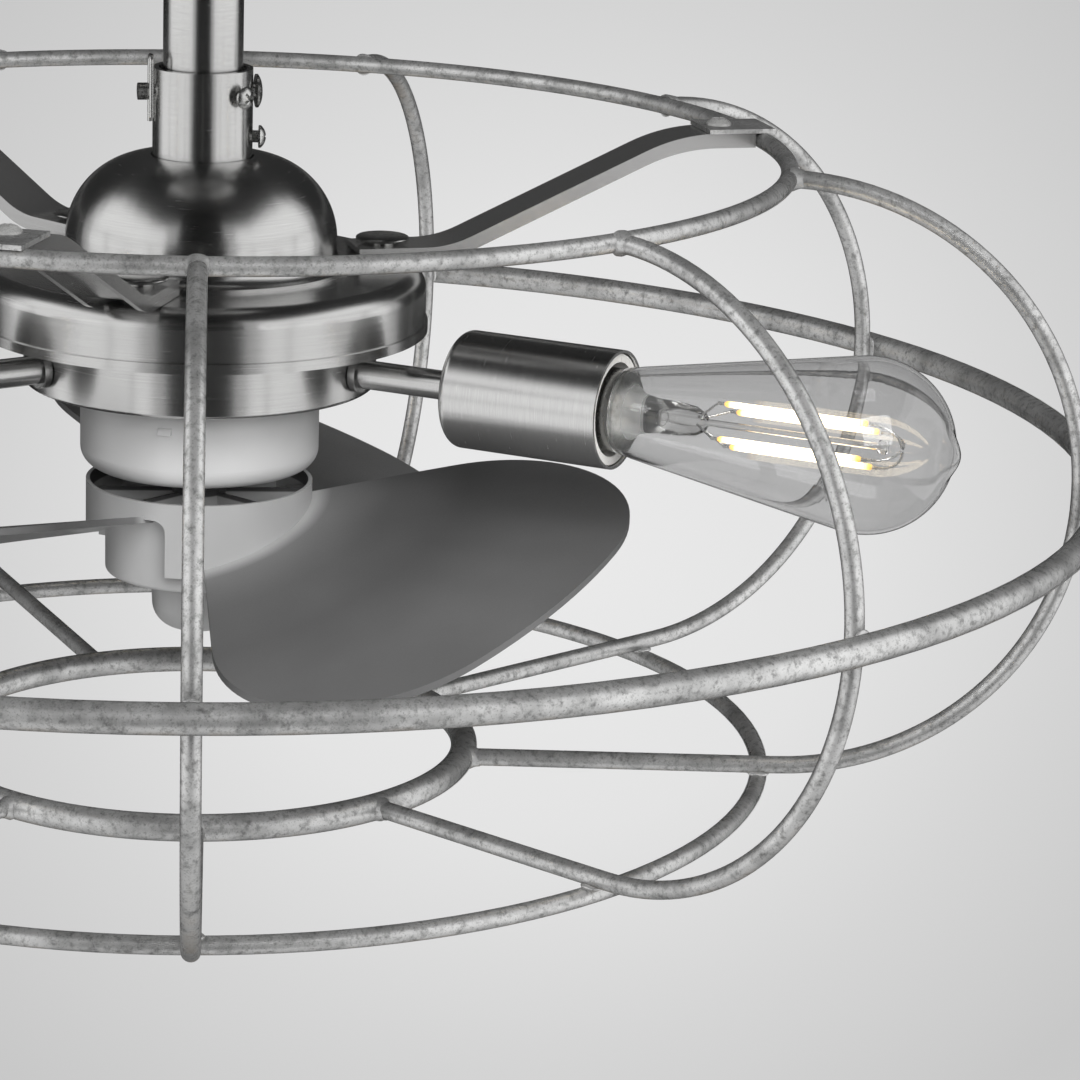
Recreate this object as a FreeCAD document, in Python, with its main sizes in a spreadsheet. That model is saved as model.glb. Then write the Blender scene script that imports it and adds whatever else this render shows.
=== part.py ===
"""Caged ceiling fan with three lights, built as a parametric document of separate pieces.

The origin is the middle of the ceiling face and +Z is up, so the fan hangs below it.
Heights in the sheet are measured from the middle plane of the cage, except where a name says drop,
which is measured down from the ceiling. Azimuths are in degrees, counted from +X towards +Y.
"""
import FreeCAD, Part
import math
import os
import Sketcher

SIZES = {
    # Hanging gear above the cage
    "hang_depth": 330,
    "plate_half_length": 62,
    "plate_half_width": 12,
    "plate_gauge": 2.5,
    "tab_drop": 16,
    "slot_spacing": 88.9,
    "slot_length": 14,
    "slot_width": 5.6,
    "leg_inside": 36,
    "leg_half_width": 10,
    "seat_drop_top": 46,
    "seat_drop_bottom": 57.8,
    "ball_drop": 38,
    "ball_radius": 30,
    "seat_gap": 0.4,
    "seat_hole_radius": 21,
    "ball_top_angle": 32,
    "ball_bottom_angle": -46,
    "canopy_radius": 65,
    "canopy_drop_shoulder": 40,
    "canopy_drop": 66,
    "canopy_corner": 26,
    "canopy_hole_radius": 25,
    "canopy_gauge": 1.2,
    "canopy_gap": 0.5,
    "canopy_screw_drop": 10,
    "hanger_pin_radius": 3,
    "hanger_pin_half_length": 22,
    "hanger_pin_drop": 38,
    # Downrod and coupling
    "rod_radius": 13.1,
    "rod_wall": 2.2,
    "rod_bottom": 90,
    "rod_top_drop": 18,
    "coupling_radius": 16.4,
    "coupling_bore": 14.4,
    "coupling_top": 125.9,
    "coupling_base_radius": 30,
    "coupling_base": 4,
    "wire_hole_radius": 9,
    "pin_radius": 2.8,
    "pin_head_radius": 5.5,
    "pin_head": 2,
    "pin_reach": 17.4,
    "pin_height": 118,
    "pin_azimuth": 8,
    "pin_gap": 0.1,
    "clip_wire_radius": 0.8,
    "clip_half_height": 9.8,
    "set_screw_radius": 2,
    "set_screw_head_radius": 3.7,
    "set_screw_head": 2.4,
    "screw_head_side": 0.7,
    "set_screw_stand": 2,
    "set_screw_azimuth": -43,
    "low_screw_azimuth": -4,
    "low_screw_height": 103.5,
    # Dome and motor housings
    "dome_radius": 44.8,
    "dome_curve": 27.5,
    "dome_shoulder": 69.5,
    "dome_mouth": 16.9,
    "dome_gauge": 1.2,
    "dome_foot_curve": 4.2,
    "pan_radius": 74.6,
    "pan_top": 60.5,
    "pan_corner": 6.3,
    "pan_gauge": 1.5,
    "pan_lip_radius": 75.4,
    "pan_lip_top": 43.4,
    "pan_lip_bottom": 40.2,
    "ring_housing_radius": 58.5,
    "ring_housing_top": 41.9,
    "ring_housing_bottom": 21.5,
    "ring_housing_corner": 1.2,
    "ring_flange_radius": 72.9,
    "can_radius": 39.8,
    "can_bottom": -7.5,
    "can_corner": 6.5,
    "can_gauge": 1.2,
    "can_gap": 0.3,
    "bearing_radius": 8,
    "bearing_wall": 2,
    "bearing_length": 9,
    "cap_height": 50,
    "shaft_radius": 4,
    "shaft_play": 0.05,
    "shaft_top": 52,
    "shaft_bottom": -58,
    "stator_radius": 38.2,
    "stator_bore": 20.4,
    "stator_bottom": 10,
    "stator_height": 26,
    "slot_count": 12,
    "slot_radius": 2.6,
    "slot_circle": 27,
    "rotor_gap": 0.5,
    "winding_inside": 23,
    "winding_outside": 35,
    "winding_height": 6,
    # Impeller
    "hub_radius": 37.9,
    "hub_wall": 1.4,
    "hub_top": -12.6,
    "hub_skirt": -37.5,
    "hub_core_radius": 31.4,
    "hub_bottom": -44.3,
    "hub_floor": 2.5,
    "hub_corner": 1.5,
    "boss_radius": 9,
    "boss_top": -15,
    "hub_rib_count": 8,
    "hub_rib_width": 1,
    "hub_rib_top": -16,
    "press_gap": 0.02,
    "blade_count": 3,
    "blade_tip_radius": 153,
    "blade_start_azimuth": -87,
    "blade_span": 88.6,
    "blade_corner": 52,
    "blade_middle": -25.5,
    "blade_pitch": 17.6,
    "blade_camber": 1250,
    "blade_thickness": 2.2,
    "scoop_inset": 0.8,
    "niche_top": -18.5,
    "niche_reach": 11.4,
    "niche_corner": 4.2,
    "niche_overlap": 6,
    "niche_wall_angle": 2.4,
    "spinner_radius": 16.2,
    "spinner_bottom": -64.3,
    "spinner_corner": 9,
    # Cage
    "wire_radius": 2.93,
    "hoop_radius": 4.45,
    "top_ring_radius": 192.9,
    "top_ring_height": 99.3,
    "middle_ring_radius": 300.35,
    "bottom_ring_radius": 192,
    "bottom_ring_height": -105.81,
    "inner_ring_radius": 91.3,
    "inner_ring_height": -104.8,
    "rib_bend": 99.4,
    "rib_bend_center": 193.52,
    "rib_upper_center": -0.1,
    "rib_lower_center": -0.602,
    "rib_fall_angle": 2.6,
    "rib_count": 9,
    "rib_first_azimuth": -90,
    "rib_trim_1": -0.3,
    "rib_trim_2": -0.5,
    "rib_trim_3": -1.7,
    "rib_trim_4": 1.95,
    "rib_trim_5": 2,
    "rib_trim_6": 2.8,
    # Cage brackets
    "bracket_azimuth": 12,
    "bracket_inside": 51.5,
    "bracket_foot_end": 82.5,
    "bracket_run": 80,
    "bracket_rise": 36.53,
    "bracket_outside": 189.4,
    "bracket_top": 65.7,
    "bracket_bend": 13.3,
    "bracket_bend_radius": 61.15,
    "foot_bend": 8,
    "foot_bend_radius": 36.78,
    "bracket_depth": 5,
    "bracket_width": 19,
    "bracket_gauge": 1.8,
    "bolt_circle": 61.7,
    "bolt_radius": 3,
    "bolt_head_radius": 9,
    "bolt_head": 3,
    "bolt_head_edge": 1.5,
    "bolt_bottom": 55,
    "nut_flats": 10,
    "nut_height": 3,
    "hole_gap": 0.1,
    "clip_inside": 172.5,
    "clip_outside": 196,
    "clip_width": 21,
    "clip_gauge": 1.5,
    "clip_screw_circle": 179,
    "clip_screw_radius": 1.9,
    "clip_screw_head_radius": 4.3,
    "clip_screw_head": 2.6,
    "clip_screw_length": 6,
    # Lights
    "light_azimuth": -30,
    "light_height": 30.8,
    "stem_radius": 4.75,
    "stem_bore": 3.5,
    "stem_inside": 50,
    "stem_outside": 102.1,
    "collar_radius": 6.2,
    "collar_length": 2.6,
    "stem_nut_radius": 6.9,
    "stem_nut_inside": 51,
    "stem_nut_length": 4,
    "cup_inside": 97.2,
    "cup_outside": 152.7,
    "cup_radius": 19.15,
    "cup_gauge": 1,
    "cup_corner": 3,
    "insulator_inside": 107.1,
    "insulator_outside": 151.7,
    "insulator_radius": 17.85,
    "insulator_mouth": 15.2,
    "insulator_step": 142.1,
    "shell_radius": 14.3,
    "shell_bore": 13.7,
    "shell_inside": 121.1,
    "shell_outside": 145,
    "contact_radius": 5,
    "contact_length": 8,
    "base_radius": 13.4,
    "base_gauge": 0.6,
    "base_tip_radius": 5,
    "base_inside": 126.1,
    "base_outside": 154.6,
    "glass_neck": 13.9,
    "glass_shoulder": 160.1,
    "glass_shoulder_radius": 14.8,
    "glass_wide": 233.6,
    "glass_wide_radius": 27.57,
    "glass_end_radius": 27.78,
    "glass_end": 264.8,
    "glass_tip": 267.6,
    "nipple_start": 264.31,
    "nipple_radius": 5.2,
    "nipple_tip_radius": 0.9,
    "nipple_curve": 6,
    "glass_wall": 0.9,
    "mount_foot": 2,
    "mount_waist_radius": 6,
    "mount_neck": 177,
    "mount_neck_radius": 2.6,
    "mount_tip": 244,
    "mount_rod_radius": 1.1,
    "filament_count": 4,
    "filament_circle": 8,
    "filament_turn": 20,
    "filament_radius": 0.9,
    "filament_inside": 190.5,
    "filament_outside": 238.5,
    "filament_wire_radius": 0.5,
}

doc = FreeCAD.newDocument("caged_ceiling_fan")
sheet = doc.addObject("Spreadsheet::Sheet", "Dims")
for row, (alias, value) in enumerate(SIZES.items(), 1):
    sheet.set(f"A{row}", alias)
    sheet.set(f"B{row}", str(value))
    sheet.setAlias(f"B{row}", alias)
doc.recompute()

Vector = FreeCAD.Vector
UP = Vector(0, 0, 1)
NODES = {}


# Sums of sheet names, as numbers and as bound formulas


def number(text):
    """Value of a sum such as 'pan_radius - 2*pan_gauge'."""
    total = 0.0
    sign = 1
    for word in text.split():
        if word in "+-":
            sign = 1 if word == "+" else -1
            continue
        product = 1.0
        for factor in word.split("*"):
            product *= sheet.get(factor) if factor in SIZES else float(factor)
        total += sign * product
        sign = 1
    return total


def formula(text):
    """The same sum written against the sheet."""
    words = []
    for word in text.split():
        factors = ["Dims." + f if f in SIZES else f for f in word.split("*")]
        words.append("*".join(factors))
    return " ".join(words)


def bind(thing, prop, text):
    thing.setExpression(prop, formula(text))


def node(label, thing):
    """Names a finished piece."""
    thing.Label = label
    NODES[label] = thing
    return thing


# Sketches and the features made from them


def new_body(name, height="0", azimuth="0"):
    """A body at a height over the middle of the cage, turned to an azimuth."""
    body = doc.addObject("PartDesign::Body", name)
    body.AllowCompound = True
    body.Placement = FreeCAD.Placement(Vector(), FreeCAD.Rotation(UP, 1))
    bind(body, "Placement.Base.z", f"{height} - hang_depth")
    bind(body, "Placement.Rotation.Angle", azimuth)
    return body


def new_sketch(body, role, offset="0"):
    sketch = body.newObject("Sketcher::SketchObject", body.Name + "_sketch")
    plane = next(f for f in body.Origin.OriginFeatures if f.Role == role)
    sketch.AttachmentSupport = [(plane, "")]
    sketch.MapMode = "FlatFace"
    bind(sketch, "AttachmentOffset.Base.z", offset)
    return sketch


def pin_point(sketch, edge, end, x, y):
    """Locks one end of an edge to sums of sheet names."""
    for kind, axis, text in (("DistanceX", -2, x), ("DistanceY", -1, y)):
        if text == "0":
            sketch.addConstraint(Sketcher.Constraint("PointOnObject", edge, end, axis))
            continue
        at = sketch.addConstraint(Sketcher.Constraint(kind, -1, 1, edge, end, number(text)))
        bind(sketch, f"Constraints[{at}]", text)


def arc_between(a, b, radius, side):
    """Arc from a to b with its centre on the left (1) or on the right (-1)."""
    chord = b - a
    half = chord.Length / 2
    left = Vector(-chord.y, chord.x, 0).normalize()
    center = (a + b) / 2 + left * side * math.sqrt(max(radius**2 - half**2, 0))
    first, last = (a, b) if side > 0 else (b, a)
    start = math.atan2(first.y - center.y, first.x - center.x)
    stop = math.atan2(last.y - center.y, last.x - center.x)
    return Part.ArcOfCircle(Part.Circle(center, UP, radius), start, stop)


def draw(sketch, corners, bends=None, closed=True):
    """Outline through corners, where bends maps an edge's number to its radius and side."""
    bends = bends or {}
    points = [Vector(number(x), number(y), 0) for x, y in corners]
    count = len(points) if closed else len(points) - 1
    first = sketch.GeometryCount
    ends = []
    for i in range(count):
        a = points[i]
        b = points[(i + 1) % len(points)]
        if i in bends:
            radius, side = bends[i]
            sketch.addGeometry(arc_between(a, b, number(radius), side), False)
            ends.append((1, 2) if side > 0 else (2, 1))
        else:
            sketch.addGeometry(Part.LineSegment(a, b), False)
            ends.append((1, 2))
    for i in range(count if closed else count - 1):
        after = (i + 1) % count
        joint = ("Coincident", first + i, ends[i][1], first + after, ends[after][0])
        sketch.addConstraint(Sketcher.Constraint(*joint))
    for i, (x, y) in enumerate(corners):
        edge = min(i, count - 1)
        end = ends[edge][0] if i == edge else ends[edge][1]
        pin_point(sketch, first + edge, end, x, y)
    for i, (radius, _) in bends.items():
        chord = points[(i + 1) % len(points)] - points[i]
        if abs(chord.Length - 2 * number(radius)) < 1e-6:
            level = "Vertical" if abs(chord.x) < 1e-6 else "Horizontal"
            sketch.addConstraint(Sketcher.Constraint(level, first + i, 3, first + i, 1))
            continue
        at = sketch.addConstraint(Sketcher.Constraint("Radius", first + i, number(radius)))
        bind(sketch, f"Constraints[{at}]", radius)


def draw_circle(sketch, radius, x="0", y="0"):
    center = Vector(number(x), number(y), 0)
    edge = sketch.addGeometry(Part.Circle(center, UP, number(radius)), False)
    pin_point(sketch, edge, 3, x, y)
    at = sketch.addConstraint(Sketcher.Constraint("Radius", edge, number(radius)))
    bind(sketch, f"Constraints[{at}]", radius)


def box_corners(x0, x1, y0, y1):
    return [(x0, y0), (x1, y0), (x1, y1), (x0, y1)]


def spin(body, outlines, axis="V_Axis"):
    """Turns outlines in the upright plane about the upright or the radial axis."""
    sketch = new_sketch(body, "XZ_Plane")
    for corners, bends in outlines:
        draw(sketch, corners, bends)
    turned = body.newObject("PartDesign::Revolution", body.Name + "_spin")
    turned.Profile = sketch
    turned.ReferenceAxis = (sketch, [axis])
    turned.Angle = 360
    return turned


def pad(body, sketch, length, down=False, middle=False):
    made = body.newObject("PartDesign::Pad", body.Name + "_pad")
    made.Profile = sketch
    bind(made, "Length", length)
    made.Reversed = down
    made.Midplane = middle
    return made


def pocket(body, sketch, length, middle=False):
    made = body.newObject("PartDesign::Pocket", body.Name + "_pocket")
    made.Profile = sketch
    bind(made, "Length", length)
    made.Midplane = middle
    return made


def repeat(body, features, count):
    """Repeats features evenly round the fan's axis."""
    made = body.newObject("PartDesign::PolarPattern", body.Name + "_repeat")
    made.Originals = features
    axis = next(f for f in body.Origin.OriginFeatures if f.Role == "Z_Axis")
    made.Axis = (axis, [""])
    made.Angle = 360
    bind(made, "Occurrences", count)
    body.Tip = made
    return made


def turned_piece(label, corners, bends=None, axis="V_Axis", height="0", azimuth="0"):
    """A piece made by one turned outline."""
    body = new_body(label, height, azimuth)
    spin(body, [(corners, bends)], axis)
    return node(label, body)


def three_turned(label, corners, bends=None):
    """Three radial pieces, one on each light, in one node."""
    body = new_body(label, "light_height", "light_azimuth")
    feature = spin(body, [(corners, bends)], "H_Axis")
    repeat(body, [feature], "blade_count")
    return node(label, body)


# Plain solids and the booleans between them


def polar(radius, azimuth, height):
    turn = math.radians(number(azimuth))
    reach = number(radius)
    return Vector(reach * math.cos(turn), reach * math.sin(turn), number(height) - number("hang_depth"))


def rod(name, radius, length, place, direction):
    made = doc.addObject("Part::Cylinder", name)
    bind(made, "Radius", radius)
    bind(made, "Height", length)
    made.Placement = FreeCAD.Placement(place, FreeCAD.Rotation(UP, direction))
    return made


def outward(azimuth):
    turn = math.radians(number(azimuth))
    return Vector(math.cos(turn), math.sin(turn), 0)


def join(name, pieces):
    made = doc.addObject("Part::MultiFuse", name)
    made.Shapes = pieces
    return made


def join_in_turn(name, pieces):
    """Joins pieces one after another, where a single joint step over all of them fails."""
    whole = pieces[0]
    for i, piece in enumerate(pieces[1:], 1):
        made = doc.addObject("Part::Fuse", f"{name}_{i}")
        made.Base = whole
        made.Tool = piece
        whole = made
    return whole


def group(name, pieces):
    made = doc.addObject("Part::Compound", name)
    made.Links = pieces
    return made


def cut(name, base, tools):
    made = doc.addObject("Part::Cut", name)
    made.Base = base
    made.Tool = tools[0] if len(tools) == 1 else join(name + "_tools", tools)
    return made


def overlap(name, base, tool):
    made = doc.addObject("Part::Common", name)
    made.Base = base
    made.Tool = tool
    return made


def thirds(azimuth):
    """The azimuths of three pieces spaced evenly from the first one."""
    return [f"{azimuth} + {120 * i}" for i in range(3)]


def cross_corners(half, reach):
    """Outline of a cross from the half width of its arms and their reach."""
    quarter = [(half, reach), (half, half), (reach, half)]
    corners = []
    for sign_x, sign_y in (("", ""), ("", "- "), ("- ", "- "), ("- ", "")):
        turned = quarter if sign_x == sign_y else quarter[::-1]
        corners += [(sign_x + x, sign_y + y) for x, y in turned]
    return corners


def screw(name, place, way, shank, tail, head, rise, side, flat="0", cross=False):
    """Headed screw along a direction, whose head sits on its place and curves in from side to flat."""
    body = doc.addObject("PartDesign::Body", name)
    body.Placement = FreeCAD.Placement(place, FreeCAD.Rotation(UP, way))
    outline = [("0", tail), (shank, tail), (shank, "0"), (head, "0"), (head, side), (flat, rise)]
    if flat != "0":
        outline.append(("0", rise))
    run = number(head) - number(flat)
    lift = number(rise) - number(side)
    curve = f"{(run**2 + lift**2) / (2 * lift):.6f}"
    spin(body, [(outline, {4: (curve, 1)})])
    if cross:
        recess = new_sketch(body, "XY_Plane", rise)
        draw(recess, cross_corners("0.14*" + head, "0.55*" + head))
        pocket(body, recess, "0.5*" + rise)
    return body


# Hanging gear


def make_ceiling_bracket():
    body = doc.addObject("PartDesign::Body", "bracket_strap")
    plate = new_sketch(body, "XY_Plane")
    long, wide = "plate_half_length", "plate_half_width"
    draw(plate, box_corners("- " + long, long, "- " + wide, wide))
    pad(body, plate, "plate_gauge", down=True)
    for side in ("", "- "):
        other = "- " if side else "+ "
        slot = new_sketch(body, "XY_Plane", "0.1*plate_gauge")
        near = f"{side}0.5*slot_spacing - 0.5*slot_length + 0.5*slot_width"
        far = f"{side}0.5*slot_spacing + 0.5*slot_length - 0.5*slot_width"
        corners = box_corners(near, far, "- 0.5*slot_width", "0.5*slot_width")
        draw(slot, corners, {1: ("0.5*slot_width", 1), 3: ("0.5*slot_width", 1)})
        pocket(body, slot, "2*plate_gauge")
        tab = new_sketch(body, "XY_Plane")
        inner = f"{side}plate_half_length {'+' if side else '-'} plate_gauge"
        tab_ends = [inner, side + long]
        draw(tab, box_corners(*(tab_ends[::-1] if side else tab_ends), "- " + wide, wide))
        pad(body, tab, "tab_drop", down=True)
        leg = new_sketch(body, "XY_Plane")
        leg_ends = [side + "leg_inside", f"{side}leg_inside {other}plate_gauge"]
        half = "leg_half_width"
        draw(leg, box_corners(*(leg_ends[::-1] if side else leg_ends), "- " + half, half))
        pad(body, leg, "seat_drop_bottom", down=True)
    ring = new_sketch(body, "XZ_Plane")
    rim = "leg_inside + plate_gauge"
    draw(ring, box_corners("seat_hole_radius", rim, "- seat_drop_bottom", "- seat_drop_top"))
    turned = body.newObject("PartDesign::Revolution", "bracket_ring")
    turned.Profile = ring
    turned.ReferenceAxis = (ring, ["V_Axis"])
    seat = doc.addObject("Part::Sphere", "ball_seat")
    bind(seat, "Radius", "ball_radius + seat_gap")
    bind(seat, "Placement.Base.z", "- ball_drop")
    screws = []
    for i, azimuth in enumerate(("0", "180")):
        place = polar("plate_half_length - 5", azimuth, "hang_depth - canopy_screw_drop")
        hole = "set_screw_radius + hole_gap"
        screws.append(rod(f"canopy_screw_hole_{i}", hole, "10", place, outward(azimuth)))
    node("ceiling_bracket", cut("ceiling_bracket", body, [seat] + screws))


def make_canopy():
    body = new_body("canopy_shell", "hang_depth")
    inside = "canopy_radius - canopy_gauge"
    corner_foot = "canopy_radius - canopy_corner"
    outline = [
        (inside, "- canopy_gap"),
        (inside, "- canopy_drop_shoulder"),
        (corner_foot, "- canopy_drop + canopy_gauge"),
        ("canopy_hole_radius", "- canopy_drop + canopy_gauge"),
        ("canopy_hole_radius", "- canopy_drop"),
        (corner_foot, "- canopy_drop"),
        ("canopy_radius", "- canopy_drop_shoulder"),
        ("canopy_radius", "- canopy_gap"),
    ]
    spin(body, [(outline, {1: ("canopy_corner - canopy_gauge", -1), 5: ("canopy_corner", 1)})])
    holes = []
    screws = []
    for i, azimuth in enumerate(("0", "180")):
        drop = "hang_depth - canopy_screw_drop"
        place = polar("plate_half_length - 6", azimuth, drop)
        way = outward(azimuth)
        holes.append(rod(f"canopy_hole_{i}", "set_screw_radius + hole_gap", "12", place, way))
        seat = polar("canopy_radius", azimuth, drop)
        tail = "plate_half_length - 6 - canopy_radius"
        head = ("set_screw_head_radius", "set_screw_head", "screw_head_side")
        screws.append(screw(f"canopy_screw_{i}", seat, way, "set_screw_radius", tail, *head, cross=True))
    node("canopy", cut("canopy", body, holes))
    node("canopy_screws", group("canopy_screws", screws))


def make_hanger():
    ball = doc.addObject("Part::Sphere", "hanger_ball_solid")
    bind(ball, "Radius", "ball_radius")
    ball.Angle1 = number("ball_bottom_angle")
    ball.Angle2 = number("ball_top_angle")
    bind(ball, "Placement.Base.z", "- ball_drop")
    down = Vector(0, 0, -1)
    bore = rod("hanger_bore", "rod_radius + hole_gap", "2*ball_drop", Vector(), down)
    along = Vector(1, 0, 0)
    pin_end = polar("- hanger_pin_half_length", "0", "hang_depth - hanger_pin_drop")
    hole_end = polar("- 1.5*hanger_pin_half_length", "0", "hang_depth - hanger_pin_drop")
    through = "3*hanger_pin_half_length"
    pin_hole = rod("hanger_pin_hole", "hanger_pin_radius + hole_gap", through, hole_end, along)
    node("hanger_ball", cut("hanger_ball", ball, [bore, pin_hole]))
    node("hanger_pin", rod("hanger_pin", "hanger_pin_radius", "2*hanger_pin_half_length", pin_end, along))
    tube = new_body("downrod_tube")
    outline = box_corners("rod_radius - rod_wall", "rod_radius", "rod_bottom", "hang_depth - rod_top_drop")
    spin(tube, [(outline, None)])
    clevis = polar("- coupling_radius", "pin_azimuth", "pin_height")
    way = outward("pin_azimuth")
    low_hole = rod("rod_pin_hole", "pin_radius + pin_gap", "2*coupling_radius", clevis, way)
    node("downrod", cut("downrod", tube, [pin_hole, low_hole]))


def make_coupling():
    body = new_body("coupling_tube")
    outline = [
        ("wire_hole_radius", "pan_top"),
        ("coupling_base_radius", "pan_top"),
        ("coupling_base_radius", "pan_top + coupling_base"),
        ("coupling_radius", "pan_top + coupling_base"),
        ("coupling_radius", "coupling_top"),
        ("coupling_bore", "coupling_top"),
        ("coupling_bore", "pan_top + coupling_base"),
        ("wire_hole_radius", "pan_top + coupling_base"),
    ]
    spin(body, [(outline, None)])
    way = outward("pin_azimuth")
    place = polar("- 1.5*coupling_radius", "pin_azimuth", "pin_height")
    holes = [rod("coupling_pin_hole", "pin_radius + pin_gap", "3*coupling_radius", place, way)]
    screws = []
    for azimuth, height in (("set_screw_azimuth", "pin_height"), ("low_screw_azimuth", "low_screw_height")):
        side = outward(azimuth)
        start = polar("rod_radius", azimuth, height)
        holes.append(rod(azimuth + "_hole", "set_screw_radius + hole_gap", "coupling_radius", start, side))
        seat = polar("coupling_radius + set_screw_stand", azimuth, height)
        tail = "rod_radius - coupling_radius - set_screw_stand"
        head = ("set_screw_head_radius", "set_screw_head", "screw_head_side")
        name = azimuth.replace("azimuth", "body")
        screws.append(screw(name, seat, side, "set_screw_radius", tail, *head, cross=True))
    node("coupling", cut("coupling", body, holes))
    node("coupling_screws", group("coupling_screws", screws))
    seat = polar("coupling_radius + 1", "pin_azimuth", "pin_height")
    head = ("pin_head_radius", "pin_head", "0.35*pin_head", "0.3*pin_head_radius")
    solid = screw("clevis_solid", seat, way, "pin_radius", "- 2*coupling_radius - 6", *head)
    clip_place = polar("- pin_reach", "pin_azimuth", "pin_height - clip_half_height")
    clip_hole = rod("clip_hole", "clip_wire_radius + 0.5*hole_gap", "2*clip_half_height", clip_place, UP)
    node("clevis_pin", cut("clevis_pin", solid, [clip_hole]))


def make_hairpin_clip():
    """Straight leg through the pin's end and an outer leg past it, joined by an eye at the top."""
    body = new_body("hairpin_clip", "pin_height", "pin_azimuth")
    path = new_sketch(body, "YZ_Plane", "- pin_reach")
    bow = "- pin_radius - 2*clip_wire_radius"
    eye = "0.5*pin_radius + clip_wire_radius"
    corners = [
        ("0", "- clip_half_height"),
        ("0", "clip_half_height"),
        (bow, "clip_half_height"),
        (bow, "- 0.8*clip_half_height"),
    ]
    draw(path, corners, {1: (eye, 1)}, closed=False)
    section = new_sketch(body, "XY_Plane", "- clip_half_height")
    draw_circle(section, "clip_wire_radius", "- pin_reach")
    pipe = body.newObject("PartDesign::AdditivePipe", "hairpin_pipe")
    pipe.Profile = section
    pipe.Spine = (path, ["Edge1", "Edge2", "Edge3"])
    node("hairpin_clip", body)


# Dome, housings and motor


def make_housings():
    inside = "dome_radius - dome_gauge"
    dome_top = "dome_shoulder + dome_curve"
    crown = "dome_radius - dome_curve"
    foot = "dome_radius + dome_foot_curve"
    turned_piece("dome_cover", [
        (inside, "pan_top"),
        (foot, "pan_top"),
        (foot, "pan_top + dome_gauge"),
        ("dome_radius", "pan_top + dome_gauge + dome_foot_curve"),
        ("dome_radius", "dome_shoulder"),
        (crown, dome_top),
        ("dome_mouth", dome_top),
        ("dome_mouth", dome_top + " - dome_gauge"),
        (crown, dome_top + " - dome_gauge"),
        (inside, "dome_shoulder"),
    ], {2: ("dome_foot_curve", -1), 4: ("dome_curve", 1), 8: ("dome_curve - dome_gauge", -1)})
    wall = "pan_radius - pan_gauge"
    shoulder = "pan_radius - pan_corner"
    pan = new_body("pan_shell")
    spin(pan, [([
        ("wire_hole_radius", "pan_top - pan_gauge"),
        (shoulder, "pan_top - pan_gauge"),
        (wall, "pan_top - pan_corner"),
        (wall, "pan_lip_bottom"),
        ("pan_lip_radius", "pan_lip_bottom"),
        ("pan_lip_radius", "pan_lip_top"),
        ("pan_radius", "pan_lip_top"),
        ("pan_radius", "pan_top - pan_corner"),
        (shoulder, "pan_top"),
        ("wire_hole_radius", "pan_top"),
    ], {1: ("pan_corner - pan_gauge", -1), 7: ("pan_corner", 1)})])
    holes = []
    for i, azimuth in enumerate(thirds("bracket_azimuth")):
        place = polar("bolt_circle", azimuth, "bolt_bottom")
        holes.append(rod(f"pan_hole_{i}", "bolt_radius + hole_gap", "20", place, UP))
    node("mount_pan", cut("mount_pan", pan, holes))
    inner = "ring_housing_radius - pan_gauge"
    bore = "can_radius + can_gap"
    housing = new_body("light_ring_shell")
    spin(housing, [([
        (bore, "ring_housing_bottom"),
        ("ring_housing_radius - ring_housing_corner", "ring_housing_bottom"),
        ("ring_housing_radius", "ring_housing_bottom + ring_housing_corner"),
        ("ring_housing_radius", "ring_housing_top - pan_gauge"),
        ("ring_flange_radius", "ring_housing_top - pan_gauge"),
        ("ring_flange_radius", "ring_housing_top"),
        (inner, "ring_housing_top"),
        (inner, "ring_housing_bottom + pan_gauge"),
        (bore, "ring_housing_bottom + pan_gauge"),
    ], {1: ("ring_housing_corner", 1)})])
    holes = []
    for i, azimuth in enumerate(thirds("light_azimuth")):
        place = polar("stem_inside", azimuth, "light_height")
        holes.append(rod(f"stem_hole_{i}", "stem_radius + hole_gap", "20", place, outward(azimuth)))
    node("light_ring", cut("light_ring", housing, holes))


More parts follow.
